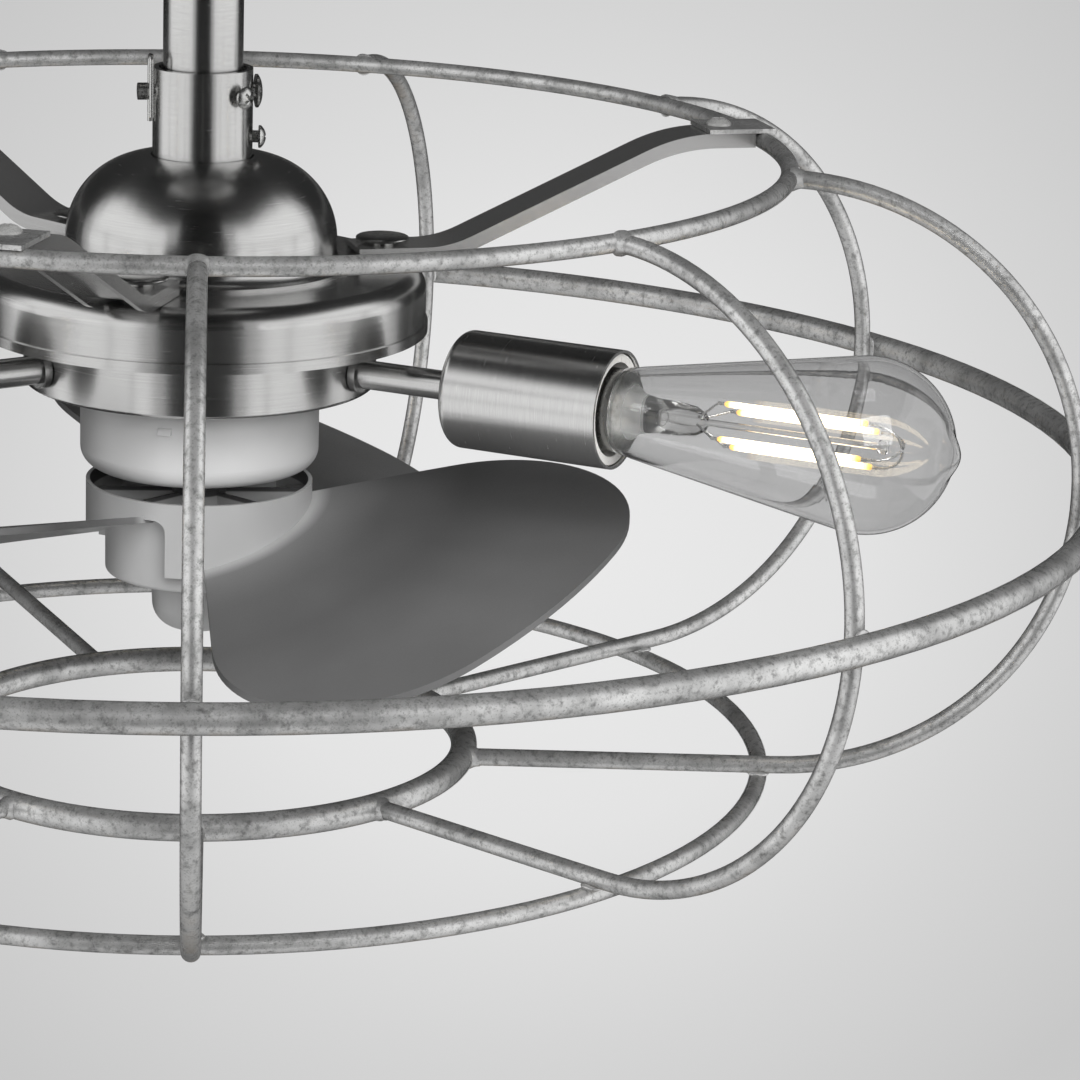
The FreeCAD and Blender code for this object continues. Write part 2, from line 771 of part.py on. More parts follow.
def make_motor():
    inside = "can_radius - can_gauge"
    turn = "can_radius - can_corner"
    tube = "bearing_radius + bearing_wall"
    turned_piece("motor_can", [
        ("bearing_radius", "can_bottom"),
        (turn, "can_bottom"),
        ("can_radius", "can_bottom + can_corner"),
        ("can_radius", "pan_top - pan_gauge"),
        (inside, "pan_top - pan_gauge"),
        (inside, "can_bottom + can_corner"),
        (turn, "can_bottom + can_gauge"),
        (tube, "can_bottom + can_gauge"),
        (tube, "can_bottom + bearing_length"),
        ("bearing_radius", "can_bottom + bearing_length"),
    ], {1: ("can_corner", 1), 5: ("can_corner - can_gauge", -1)})
    turned_piece("motor_cap", [
        ("bearing_radius", "cap_height - bearing_length"),
        (tube, "cap_height - bearing_length"),
        (tube, "cap_height - can_gauge"),
        (inside, "cap_height - can_gauge"),
        (inside, "cap_height"),
        ("bearing_radius", "cap_height"),
    ])
    bush = "shaft_radius + shaft_play"
    low_end = "can_bottom + bearing_length"
    turned_piece("lower_bearing", box_corners(bush, "bearing_radius", "can_bottom", low_end))
    high_end = "cap_height - bearing_length"
    turned_piece("upper_bearing", box_corners(bush, "bearing_radius", high_end, "cap_height"))
    turned_piece("motor_shaft", box_corners("0", "shaft_radius", "shaft_bottom", "shaft_top"))
    top = "stator_bottom + stator_height"
    rotor_radius = "stator_bore - rotor_gap"
    rotor_bore = "shaft_radius + press_gap"
    turned_piece("rotor", box_corners(rotor_bore, rotor_radius, "stator_bottom", top))
    stator = new_body("stator")
    spin(stator, [(box_corners("stator_bore", "stator_radius", "stator_bottom", top), None)])
    slot = new_sketch(stator, "XY_Plane", top)
    draw_circle(slot, "slot_radius", "slot_circle")
    hole = pocket(stator, slot, "stator_height")
    repeat(stator, [hole], "slot_count")
    node("stator", stator)
    windings = new_body("windings")
    radii = ("winding_inside", "winding_outside")
    below = box_corners(*radii, "stator_bottom - winding_height", "stator_bottom")
    above = box_corners(*radii, top, top + " + winding_height")
    spin(windings, [(below, None), (above, None)])
    node("windings", windings)


# Impeller


def blade_tool(name, radius, azimuth):
    """Long cylinder under a blade's face, leaning with the blade's pitch."""
    pitch = math.radians(number("blade_pitch"))
    away = number("blade_camber")
    middle = math.radians(number(azimuth) + number("blade_start_azimuth") + number("blade_span") / 2)
    radial = Vector(math.cos(middle), math.sin(middle), 0)
    across = Vector(-math.sin(middle), math.cos(middle), 0)
    height = number("blade_middle") - number("hang_depth") - away * math.cos(pitch)
    return rod(name, radius, "2*blade_tip_radius", across * away * math.sin(pitch) + UP * height, radial)


def sector(name, radius, start, span, bottom, height):
    """Slice of a cylinder round the fan's axis."""
    made = doc.addObject("Part::Cylinder", name)
    bind(made, "Radius", radius)
    bind(made, "Height", height)
    bind(made, "Angle", span)
    made.Placement = FreeCAD.Placement(polar("0", "0", bottom), FreeCAD.Rotation(UP, number(start)))
    return made


def rounded_edges(name, base, radius, chosen):
    """Rounds the straight edges of a solid that a test of their two ends picks out."""
    doc.recompute()
    edges = []
    for at, edge in enumerate(base.Shape.Edges, 1):
        ends = [v.Point for v in edge.Vertexes]
        if len(ends) == 2 and chosen(*ends):
            edges.append((at, number(radius), number(radius)))
    made = doc.addObject("Part::Fillet", name)
    made.Base = base
    made.Edges = edges
    return made


def make_blade(i):
    start = f"{120 * i} + blade_start_azimuth"
    plan = sector(f"blade_plan_{i}", "blade_tip_radius", start, "blade_span", "hub_bottom - 20", "70")
    tip = number("blade_tip_radius")
    rounded = rounded_edges(
        f"blade_rounded_{i}", plan, "blade_corner",
        lambda a, b: abs(a.z - b.z) > 1 and math.hypot(a.x, a.y) > tip / 2)
    face = blade_tool(f"blade_top_{i}", "blade_camber", str(120 * i))
    back = blade_tool(f"blade_back_{i}", "blade_camber - blade_thickness", str(120 * i))
    band = cut(f"blade_band_{i}", face, [back])
    blade = overlap(f"blade_{i}", rounded, band)
    keep_out = rod(f"blade_root_{i}", "hub_core_radius - 0.5*hub_wall", "300", polar("0", "0", "- 200"), UP)
    return cut(f"blade_trimmed_{i}", blade, [keep_out])


def make_niche(i, core):
    """Hollow beside a blade's high edge and the wall that lines it."""
    high_edge = f"{120 * i} + blade_start_azimuth + blade_span"
    slice_start = f"{high_edge} - niche_overlap"
    slice_span = "niche_overlap + niche_reach"
    depth = "niche_top - hub_bottom + 5"
    whole = sector(f"niche_whole_{i}", "hub_radius + 5", slice_start, slice_span, "hub_bottom - 5", depth)
    outer = cut(f"niche_outer_{i}", whole, [core])
    top = number("niche_top - hang_depth")
    far_side = outward(f"{high_edge} + niche_reach")

    def on_far_corner(a, b):
        level = abs(a.z - top) < 1e-3 and abs(b.z - top) < 1e-3
        return level and far_side.cross(a).z**2 + far_side.cross(b).z**2 < 1e-4

    niche = rounded_edges(f"niche_{i}", outer, "niche_corner", on_far_corner)
    reach = "hub_radius - 0.5*hub_wall"
    wall_span = "niche_reach + niche_wall_angle + 2"
    rise = "niche_top + hub_wall - hub_skirt"
    block = sector(f"niche_block_{i}", reach, f"{high_edge} - 2", wall_span, "hub_skirt", rise)
    inside = rod(f"niche_inside_{i}", "hub_core_radius - hub_wall", "300", polar("0", "0", "- 200"), UP)
    return niche, cut(f"niche_wall_{i}", block, [niche, inside])


def make_scoop(i, core):
    """Space under a blade's root, cut out of the skirt, and the core wall behind it."""
    start = f"{120 * i} + blade_start_azimuth + scoop_inset"
    span = "blade_span - 2*scoop_inset"
    under = blade_tool(f"blade_under_{i}", "blade_camber - 0.5*blade_thickness", str(120 * i))
    plan = sector(f"scoop_plan_{i}", "hub_radius + 5", start, span, "hub_bottom - 5", "40")
    scoop = overlap(f"scoop_{i}", plan, under)
    wall_span = "blade_span + niche_reach + niche_wall_angle - scoop_inset"
    wall_plan = sector(f"core_plan_{i}", "hub_core_radius", start, wall_span, "hub_skirt", "30")
    wall_inside = rod(f"core_inside_{i}", "hub_core_radius - hub_wall", "300", polar("0", "0", "- 200"), UP)
    wall = cut(f"core_wall_{i}", overlap(f"core_part_{i}", wall_plan, under), [wall_inside])
    return cut(f"scoop_outer_{i}", scoop, [core]), wall


def make_impeller():
    indexes = range(int(number("blade_count")))
    core_space = rod("core_space", "hub_core_radius", "300", polar("0", "0", "- 200"), UP)
    hollows = []
    walls = []
    for i in indexes:
        for hollow, wall in (make_niche(i, core_space), make_scoop(i, core_space)):
            hollows.append(hollow)
            walls.append(wall)
    blades = [make_blade(i) for i in indexes]
    skirt = new_body("hub_skirt_ring")
    spin(skirt, [(box_corners("hub_radius - hub_wall", "hub_radius", "hub_skirt", "hub_top"), None)])
    core = new_body("hub_core")
    bore = "shaft_radius + press_gap"
    core_wall = "hub_core_radius - hub_wall"
    skirt_foot = "hub_skirt + hub_floor"
    spin(core, [([
        (bore, "hub_bottom"),
        ("hub_core_radius - hub_corner", "hub_bottom"),
        ("hub_core_radius", "hub_bottom + hub_corner"),
        ("hub_core_radius", skirt_foot),
        (core_wall, skirt_foot),
        (core_wall, "hub_bottom + hub_floor"),
        ("boss_radius", "hub_bottom + hub_floor"),
        ("boss_radius", "boss_top"),
        (bore, "boss_top"),
    ], {1: ("hub_corner", 1)})])
    ledge = new_body("hub_ledge")
    ledge_inside = "hub_core_radius - 0.5*hub_wall"
    spin(ledge, [(box_corners(ledge_inside, "hub_radius", "hub_skirt", skirt_foot), None)])
    spokes = new_body("hub_spokes")
    half = "0.5*hub_rib_width"
    features = []
    for inner, outer, bottom in (
        ("boss_radius - 1", "hub_core_radius - 0.5*hub_wall", "hub_bottom + 0.5*hub_floor"),
        ("hub_core_radius - hub_wall", "hub_radius - 0.5*hub_wall", "hub_skirt + 0.5*hub_floor"),
    ):
        bar = new_sketch(spokes, "XY_Plane", bottom)
        draw(bar, box_corners(inner, outer, "- " + half, half))
        features.append(pad(spokes, bar, "hub_rib_top - " + bottom.replace("+", "-")))
    repeat(spokes, features, "hub_rib_count")
    shell = [cut(f"{base.Name}_cut", base, hollows) for base in (skirt, ledge, spokes)]
    node("impeller", join_in_turn("impeller", shell + [core] + walls + blades))
    turned_piece("spinner_nut", [
        ("0", "spinner_bottom"),
        ("spinner_radius - spinner_corner", "spinner_bottom"),
        ("spinner_radius - 0.6", "spinner_bottom + spinner_corner"),
        ("spinner_radius", "hub_bottom"),
        (bore, "hub_bottom"),
        (bore, "shaft_bottom - press_gap"),
        ("0", "shaft_bottom - press_gap"),
    ], {1: ("spinner_corner", 1)})


# Cage


def make_hoop(label, radius, wire, height):
    hoop = doc.addObject("Part::Torus", label)
    bind(hoop, "Radius1", radius)
    bind(hoop, "Radius2", wire)
    bind(hoop, "Placement.Base.z", f"{height} - hang_depth")
    return node(label, hoop)


def rib_azimuth(i):
    """Even spacing, with the small trims of the ribs that were welded off it."""
    trim = f"rib_trim_{i}"
    even = f"rib_first_azimuth + {360 * (i - 1) / number('rib_count'):g}"
    return f"{even} + {trim}" if trim in SIZES else even


def make_rib(i, hoops):
    body = new_body(f"rib_wire_{i}", "0", rib_azimuth(i))
    path = new_sketch(body, "XZ_Plane")
    fall = math.radians(number("rib_fall_angle"))
    side = "rib_bend_center + rib_bend"
    foot_x = f"rib_bend_center + {math.sin(fall):.6f}*rib_bend"
    foot_y = f"rib_lower_center - {math.cos(fall):.6f}*rib_bend"
    run = number(foot_x) - number("inner_ring_radius")
    draw(path, [
        ("top_ring_radius", "top_ring_height"),
        ("rib_bend_center", "top_ring_height"),
        (side, "rib_upper_center"),
        (side, "rib_lower_center"),
        (foot_x, foot_y),
        ("inner_ring_radius", f"{foot_y} - {run * math.tan(fall):.4f}"),
    ], {1: ("rib_bend", -1), 3: ("rib_bend", -1)}, closed=False)
    section = new_sketch(body, "YZ_Plane", "top_ring_radius")
    draw_circle(section, "wire_radius", "0", "top_ring_height")
    pipe = body.newObject("PartDesign::AdditivePipe", f"rib_pipe_{i}")
    pipe.Profile = section
    pipe.Spine = (path, [f"Edge{n}" for n in range(1, 6)])
    node(f"rib_{i}", cut(f"rib_{i}", body, hoops))


def make_cage():
    top = make_hoop("top_ring", "top_ring_radius", "wire_radius", "top_ring_height")
    make_hoop("middle_ring", "middle_ring_radius", "hoop_radius", "0")
    make_hoop("bottom_ring", "bottom_ring_radius", "wire_radius", "bottom_ring_height")
    inner = make_hoop("inner_ring", "inner_ring_radius", "hoop_radius", "inner_ring_height")
    for i in range(1, int(number("rib_count")) + 1):
        make_rib(i, [top, inner])


# Cage brackets and their fasteners


def bracket_outline(top_drop, bottom_drop):
    """Side view of a bracket between two lines that run below its top face."""
    length = math.hypot(number("bracket_run"), number("bracket_rise"))
    foot = f"{number('foot_bend') / length:.5f}"
    slope = f"{number('bracket_bend') / length:.5f}"
    rise_end = "bracket_foot_end + bracket_run"
    top_line = [
        ("bracket_inside", "bracket_top"),
        ("bracket_foot_end - foot_bend", "bracket_top"),
        (f"bracket_foot_end + {foot}*bracket_run", f"bracket_top + {foot}*bracket_rise"),
        (f"{rise_end} - {slope}*bracket_run", f"bracket_top + bracket_rise - {slope}*bracket_rise"),
        (f"{rise_end} + bracket_bend", "bracket_top + bracket_rise"),
        ("bracket_outside", "bracket_top + bracket_rise"),
    ]
    upper = [(x, f"{z} - {top_drop}") for x, z in top_line]
    lower = [(x, f"{z} - {bottom_drop}") for x, z in reversed(top_line)]
    bend = "bracket_bend_radius"
    low = "foot_bend_radius"
    return upper + lower, {1: (low, 1), 3: (bend, -1), 7: (bend, 1), 9: (low, -1)}


def make_bracket(i, azimuth):
    body = new_body(f"bracket_bar_{i}", "0", azimuth)
    side = new_sketch(body, "XZ_Plane")
    draw(side, *bracket_outline("0", "bracket_depth"))
    pad(body, side, "bracket_width", middle=True)
    hollow = new_sketch(body, "XZ_Plane")
    draw(hollow, *bracket_outline("bracket_gauge", "2*bracket_depth"))
    pocket(body, hollow, "bracket_width - 2*bracket_gauge", middle=True)
    holes = []
    for name, circle, radius, base in (
        ("foot", "bolt_circle", "bolt_radius + hole_gap", "bracket_top - 20"),
        ("clip", "clip_screw_circle", "clip_screw_radius + hole_gap", "bracket_top + bracket_rise - 20"),
    ):
        holes.append(rod(f"bracket_{name}_hole_{i}", radius, "40", polar(circle, azimuth, base), UP))
    node(f"bracket_{i}", cut(f"bracket_{i}", body, holes))


def hexagon(sketch, flats, x):
    """Six-sided outline about a point on the X axis."""
    reach = 1 / math.sqrt(3)
    corners = []
    for k in range(6):
        turn = math.radians(60 * k)
        dx = f"{reach * math.cos(turn):.6f}*{flats}"
        dy = f"{reach * math.sin(turn):.6f}*{flats}"
        corners.append((f"{x} + {dx}", dy if abs(math.sin(turn)) > 1e-6 else "0"))
    draw(sketch, corners)


def make_bracket_fasteners():
    clip_seat = "bracket_top + bracket_rise"
    clip_top = clip_seat + " + clip_gauge"
    bolt_head = ("bolt_head_radius", "bolt_head", "bolt_head_edge", "bolt_head_radius - bolt_head_edge")
    screw_head = ("clip_screw_head_radius", "clip_screw_head", "screw_head_side")
    bolts = []
    screws = []
    for i, azimuth in enumerate(thirds("bracket_azimuth")):
        seat = polar("bolt_circle", azimuth, "bracket_top")
        bolt_tail = "bolt_bottom - bracket_top"
        bolts.append(screw(f"bracket_bolt_{i}", seat, UP, "bolt_radius", bolt_tail, *bolt_head))
        seat = polar("clip_screw_circle", azimuth, clip_top)
        shank = ("clip_screw_radius", "- clip_screw_length")
        screws.append(screw(f"clip_screw_{i}", seat, UP, *shank, *screw_head, cross=True))
    node("bracket_bolts", group("bracket_bolts", bolts))
    node("clip_screws", group("clip_screws", screws))
    nuts = new_body("bracket_nuts", "0", "bracket_azimuth")
    features = []
    for bottom in ("pan_top", "pan_top - pan_gauge - nut_height"):
        face = new_sketch(nuts, "XY_Plane", bottom)
        hexagon(face, "nut_flats", "bolt_circle")
        draw_circle(face, "bolt_radius + press_gap", "bolt_circle")
        features.append(pad(nuts, face, "nut_height"))
    repeat(nuts, features, "blade_count")
    node("bracket_nuts", nuts)
    clips = new_body("cage_clips", "0", "bracket_azimuth")
    plate = new_sketch(clips, "XY_Plane", clip_seat)
    draw(plate, box_corners("clip_inside", "clip_outside", "- 0.5*clip_width", "0.5*clip_width"))
    draw_circle(plate, "clip_screw_radius + hole_gap", "clip_screw_circle")
    repeat(clips, [pad(clips, plate, "clip_gauge")], "blade_count")
    node("cage_clips", clips)


# Lights


def make_light(i, azimuth):
    place = {"axis": "H_Axis", "height": "light_height", "azimuth": azimuth}
    collar_end = "ring_housing_radius + collar_length"
    turned_piece(f"light_stem_{i}", [
        ("stem_inside", "stem_bore"),
        ("stem_outside", "stem_bore"),
        ("stem_outside", "stem_radius"),
        (collar_end, "stem_radius"),
        (collar_end, "collar_radius"),
        ("ring_housing_radius", "collar_radius"),
        ("ring_housing_radius", "stem_radius"),
        ("stem_inside", "stem_radius"),
    ], **place)
    hole = "stem_radius + hole_gap"
    inside = "cup_radius - cup_gauge"
    turned_piece(f"socket_cup_{i}", [
        ("cup_inside", hole),
        ("cup_inside + cup_gauge", hole),
        ("cup_inside + cup_gauge", "cup_radius - cup_corner"),
        ("cup_inside + cup_corner", inside),
        ("cup_outside", inside),
        ("cup_outside", "cup_radius"),
        ("cup_inside + cup_corner", "cup_radius"),
        ("cup_inside", "cup_radius - cup_corner"),
    ], {2: ("cup_corner - cup_gauge", -1), 6: ("cup_corner", 1)}, **place)
    turned_piece(f"bulb_glass_{i}", [
        ("base_outside", "glass_neck - glass_wall"),
        ("glass_shoulder", "glass_shoulder_radius - glass_wall"),
        ("glass_wide", "glass_wide_radius - glass_wall"),
        ("glass_end - glass_wall", "0"),
        ("glass_tip", "0"),
        ("glass_tip", "nipple_tip_radius"),
        ("nipple_start", "nipple_radius"),
        ("glass_wide", "glass_wide_radius"),
        ("glass_shoulder", "glass_shoulder_radius"),
        ("base_outside", "glass_neck"),
    ], {
        2: ("glass_end_radius - glass_wall", -1),
        5: ("nipple_curve", -1),
        6: ("glass_end_radius", 1),
    }, **place)


def make_sockets():
    three_turned("stem_nuts", box_corners(
        "stem_nut_inside", "stem_nut_inside + stem_nut_length", "stem_radius + press_gap", "stem_nut_radius"))
    three_turned("socket_insulators", [
        ("insulator_inside", "0"),
        ("shell_inside", "0"),
        ("shell_inside", "shell_radius"),
        ("insulator_step", "shell_radius"),
        ("insulator_step", "insulator_mouth"),
        ("insulator_outside", "insulator_mouth"),
        ("insulator_outside", "insulator_radius"),
        ("insulator_inside", "insulator_radius"),
    ])
    three_turned("socket_shells", box_corners("shell_inside", "shell_outside", "shell_bore", "shell_radius"))
    contact_end = "shell_inside + contact_length - 3"
    three_turned("socket_contacts", box_corners("shell_inside", contact_end, "0", "contact_radius"))
    three_turned("bulb_bases", [
        ("base_inside", "0"),
        ("base_inside + base_gauge", "0"),
        ("base_inside + base_gauge", "base_tip_radius - base_gauge"),
        ("base_inside + 5", "base_radius - base_gauge"),
        ("base_outside", "base_radius - base_gauge"),
        ("base_outside", "base_radius"),
        ("base_inside + 5", "base_radius"),
        ("base_inside", "base_tip_radius"),
    ])


def make_bulb_insides():
    """Glass stem with a centre rod and cross wires, and the filaments that the wires carry."""
    mounts = []
    filaments = []
    for i, azimuth in enumerate(thirds("light_azimuth")):
        radial = outward(azimuth)
        stem = new_body(f"mount_stem_{i}", "light_height", azimuth)
        spin(stem, [([
            ("base_outside", "0"),
            ("mount_tip", "0"),
            ("mount_tip", "mount_rod_radius"),
            ("mount_neck", "mount_rod_radius"),
            ("mount_neck", "mount_neck_radius"),
            ("base_outside + 3*mount_foot", "mount_waist_radius"),
            ("base_outside + mount_foot", "glass_neck - glass_wall - press_gap"),
            ("base_outside", "glass_neck - glass_wall - press_gap"),
        ], None)], "H_Axis")
        wires = [stem]
        for k in range(int(number("filament_count"))):
            turn = math.radians(number("filament_turn") + 360 * k / number("filament_count"))
            across = UP.cross(radial) * math.cos(turn) + UP * math.sin(turn)
            shift = across * number("filament_circle")
            start = polar("filament_inside", azimuth, "light_height")
            length = "filament_outside - filament_inside"
            filaments.append(rod(f"filament_{i}_{k}", "filament_radius", length, start + shift, radial))
            for end, inset in (("filament_inside", "- 1"), ("filament_outside", "1")):
                middle = polar(f"{end} + {inset}*filament_wire_radius", azimuth, "light_height")
                name = f"mount_wire_{end}_{i}_{k}"
                wires.append(rod(name, "filament_wire_radius", "filament_circle + 0.5", middle, across))
        mounts.append(join(f"bulb_mount_{i}", wires))
    node("bulb_mounts", group("bulb_mounts", mounts))
    node("bulb_filaments", group("bulb_filaments", filaments))


def check_document():
    """Stops on any failed object or broken shape."""
    doc.recompute()
    failed = [t.Label for t in doc.Objects if "Invalid" in t.State or "Error" in t.State]
    for label, thing in NODES.items():
        shape = thing.Shape
        if shape.isNull() or not shape.isValid() or not shape.Solids:
            failed.append(label + " has no valid solid")
    if failed:
        raise RuntimeError("; ".join(failed))


def main():
    make_ceiling_bracket()
    make_canopy()
    make_hanger()
    make_coupling()
    make_hairpin_clip()
    make_housings()
    make_motor()
    make_impeller()
    make_cage()
    for i, azimuth in enumerate(thirds("bracket_azimuth"), 1):
        make_bracket(i, azimuth)
    make_bracket_fasteners()
    for i, azimuth in enumerate(thirds("light_azimuth"), 1):
        make_light(i, azimuth)
    make_sockets()
    make_bulb_insides()
    check_document()
    os.makedirs("parts", exist_ok=True)
    for label, thing in NODES.items():
        thing.Shape.exportStep(f"parts/{label}.step")
        print(f"{label}: {len(thing.Shape.Solids)} solids, {thing.Shape.Volume / 1000:.2f} cm3")


main()
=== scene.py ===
"""Caged ceiling fan with three filament lights: finishes, welds, bolts, bulbs and a studio."""
import math

import bmesh
import bpy
from bpy.props import FloatProperty, FloatVectorProperty, PointerProperty
from bpy.types import Operator, Panel, PropertyGroup
from mathutils import Matrix, Vector
from mathutils.geometry import interpolate_bezier


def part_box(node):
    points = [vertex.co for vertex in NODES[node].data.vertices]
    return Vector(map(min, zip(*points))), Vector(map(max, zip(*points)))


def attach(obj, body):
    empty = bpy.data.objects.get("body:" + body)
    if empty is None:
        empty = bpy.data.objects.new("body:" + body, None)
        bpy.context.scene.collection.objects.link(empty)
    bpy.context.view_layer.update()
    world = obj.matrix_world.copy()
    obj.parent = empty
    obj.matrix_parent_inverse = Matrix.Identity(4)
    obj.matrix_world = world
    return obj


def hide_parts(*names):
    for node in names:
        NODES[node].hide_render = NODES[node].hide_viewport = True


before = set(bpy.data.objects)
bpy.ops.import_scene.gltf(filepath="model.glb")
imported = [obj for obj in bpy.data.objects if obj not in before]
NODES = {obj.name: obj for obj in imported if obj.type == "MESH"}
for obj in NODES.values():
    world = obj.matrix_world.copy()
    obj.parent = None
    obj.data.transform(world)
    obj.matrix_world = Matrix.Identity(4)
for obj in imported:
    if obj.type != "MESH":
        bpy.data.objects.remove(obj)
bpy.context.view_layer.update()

bl_info = {
    "name": "Caged Ceiling Fan",
    "version": (1, 0, 0),
    "blender": (4, 5, 0),
    "location": "View3D > Sidebar > Fan",
    "description": "Finishes, welds, bolts, bulbs and studio of a caged ceiling fan with lights",
    "category": "Object",
}

MM = 0.001


def middle(node):
    """Middle of a CAD node's box."""
    low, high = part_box(node)
    return (low + high) / 2


# Azimuths in degrees, and heights in metres

LIGHT_AZIMUTHS = (-30, 90, 210)
BRACKET_AZIMUTHS = (12, 132, 252)
RIB_AZIMUTHS = (-90.3, -50.5, -11.7, 31.95, 72, 112.8, 150, 190, 230)
LANCE_AZIMUTH = -106.6
CAGE_HEIGHT = middle("middle_ring").z
LIGHT_HEIGHT = middle("socket_cup_1").z

# Measures in millimetres, and turns in degrees. An outline holds places along a piece, with the
# radius at each.

HUB_BORE = 36.6
HUB_DEPTH = 17.5
HUB_EDGE = 0.1
HUB_STEP = 0.5

BOLT_CIRCLE = 61.7
BOLT_HEAD = [
    (0, 0), (-0.04, 4), (-0.12, 7.2), (-0.3, 8.2), (-0.6, 8.75), (-1.0, 9.0), (-1.4, 8.8),
    (-1.7, 8.3), (-1.8, 7.6), (-1.85, 4.2), (-3.0, 4.2), (-3.0, 3.0),
]
BOLT_RADIUS = 3.0
BOLT_END_RADIUS = 2.4
BOLT_END_LENGTH = 0.5

WELD_COLLAR = [
    (-2.0, 2.4), (-2.0, 4.1), (-0.8, 4.0), (0.4, 3.55), (1.5, 3.2), (2.8, 2.98), (2.8, 2.4),
]

LANCE_SIZE = (1.2, 4.6, 2.4)
LANCE_LIFT = 0.9
LANCE_ROUNDING = 0.22
LANCE_REACH = 39.6
LANCE_HEIGHT = 12.4

# Places along a bulb are counted from the fan's axis
GLASS_NECK, GLASS_END = 155.1, 267.6
GLASS_WALL = 0.9
NECK_RIM = [(GLASS_NECK, 13.9), (157.6, 14.2)]
CONE_START, CONE_LENGTH = 160.1, 73.5
CONE_RADIUS, CONE_GROWTH = 14.8, 12.77
ROUND_CENTER, ROUND_RADIUS = 237.02, 27.78
ROUND_START, ROUND_SWEEP = 97.07, 76.87
TIP_PULLS = [(264.2, 6.6), (GLASS_END, 3.4)]

STEM_OUTLINE = [
    (155.1, 0), (155.1, 12.6), (156.3, 12.7), (157.7, 9.6), (161, 6.6), (167, 5.4), (174, 5.0),
    (180, 4.3), (183.4, 2.6), (184.2, 1.1), (240.6, 1.1), (241.4, 2.1), (243.6, 2.1), (244.2, 0),
]
FOOT_RANGE = (156.5, 162)
PRESS_START, PRESS_FULL, PRESS_END = 163, 175, 184
PRESS_FLATTENING, PRESS_WIDENING = 0.5, 0.1

STRIP_INSIDE, STRIP_OUTSIDE = 190.5, 238.5
STRIP_CIRCLE = 8
STRIP_TURNS = (20, 110, 200, 290)
STRIP_OUTLINE = [(-0.2, 0), (0.1, 0.55), (0.9, 0.98), (47.1, 0.98), (47.9, 0.55), (48.2, 0)]
CHIP_PITCH = 1.7
LEAD_START = (181, 0, 1.6)
LEAD_END = (STRIP_INSIDE - 2, 0, STRIP_CIRCLE)
LEAD_RADIUS = 0.38
CUFFS = [
    (STRIP_INSIDE - 2.2, STRIP_INSIDE + 0.6),
    (STRIP_OUTSIDE - 0.6, STRIP_OUTSIDE + 1.6),
]
CUFF_RADIUS = 0.55
BOW_START = STRIP_OUTSIDE + 1.2
BOW_CENTER = 0.8
BOW_STRETCH = 1.25


# Settings that a user would change


def color(name, description, default):
    return FloatVectorProperty(name=name, description=description, default=default, min=0, max=1,
                               subtype="COLOR", size=3)


def share(name, description, default):
    return FloatProperty(name=name, description=description, default=default, min=0, max=1,
                         subtype="FACTOR")


def amount(name, description, default, high):
    return FloatProperty(name=name, description=description, default=default, min=0, max=high)


def length(name, description, default):
    return FloatProperty(name=name, description=description, default=default, min=0,
                         unit="LENGTH", subtype="DISTANCE", precision=5)


def power(name, description, default):
    return FloatProperty(name=name, description=description, default=default, min=0, unit="POWER")


class NickelSettings(PropertyGroup):
    tone: color("Nickel", "Colour of the brushed plate", (0.62, 0.618, 0.612))
    roughness: share("Roughness", "How far the brushing spreads a highlight", 0.24)
    fineness: amount("Fineness", "Brush lines across a metre", 5000, 20000)


class ZincSettings(PropertyGroup):
    light: color("Bright zinc", "Clean parts of the wire", (0.68, 0.68, 0.675))
    dark: color("Patina", "Dark stains on the wire", (0.13, 0.13, 0.127))
    tan: color("Tan stain", "Tint on the wire's underside", (0.42, 0.35, 0.27))


class ImpellerSettings(PropertyGroup):
    blade: color("Blade", "Outer part of the blades", (0.085, 0.085, 0.085))
    hub: color("Hub", "Impeller's hub and spinner", (0.37, 0.37, 0.37))
    can: color("Motor case", "Case of the motor", (0.60, 0.60, 0.60))
    fade_start: length("Fade start", "Radius where the hub's colour ends", 0.036)
    fade_end: length("Fade end", "Radius where the blade's colour is full", 0.12)


class BulbSettings(PropertyGroup):
    glass: color("Glass", "Tint of the bulbs", (0.75, 0.75, 0.75))
    glow: color("Glow", "Colour of the filaments' ends", (1.0, 0.60, 0.16))
    strength: amount("Strength", "Brightness of the lit filaments", 6, 100)


class StudioSettings(PropertyGroup):
    center: color("Backdrop middle", "Brightest part of the backdrop", (0.88, 0.88, 0.88))
    edge: color("Backdrop edge", "Backdrop away from the middle", (0.61, 0.61, 0.61))
    side_lamp: power("Side lamps", "Power of each side lamp", 11)
    fill_lamp: power("Fill lamp", "Power of the lamp behind the camera", 68)
    top_lamp: power("Top lamp", "Power of the lamp overhead", 6)


# Node helpers


def add(tree, kind, inputs=None, **settings):
    """A node with its settings, and its inputs linked or set."""
    made = tree.nodes.new(kind)
    for key, value in settings.items():
        setattr(made, key, value)
    for key, value in (inputs or {}).items():
        if isinstance(value, bpy.types.NodeSocket):
            tree.links.new(value, made.inputs[key])
        else:
            made.inputs[key].default_value = value
    return made


def sums(tree, operation, a, b=0.0):
    """Result of a Math node."""
    return add(tree, "ShaderNodeMath", {0: a, 1: b}, operation=operation).outputs[0]


def scaled(tree, vector, scale):
    """Colour or vector times a value."""
    return add(tree, "ShaderNodeVectorMath", {0: vector, "Scale": scale},
               operation="SCALE").outputs["Vector"]


def shades(tone, places, shares):
    """Ramp stops that are shares of one colour."""
    return [(at, tuple(Vector(tone) * part)) for at, part in zip(places, shares)]


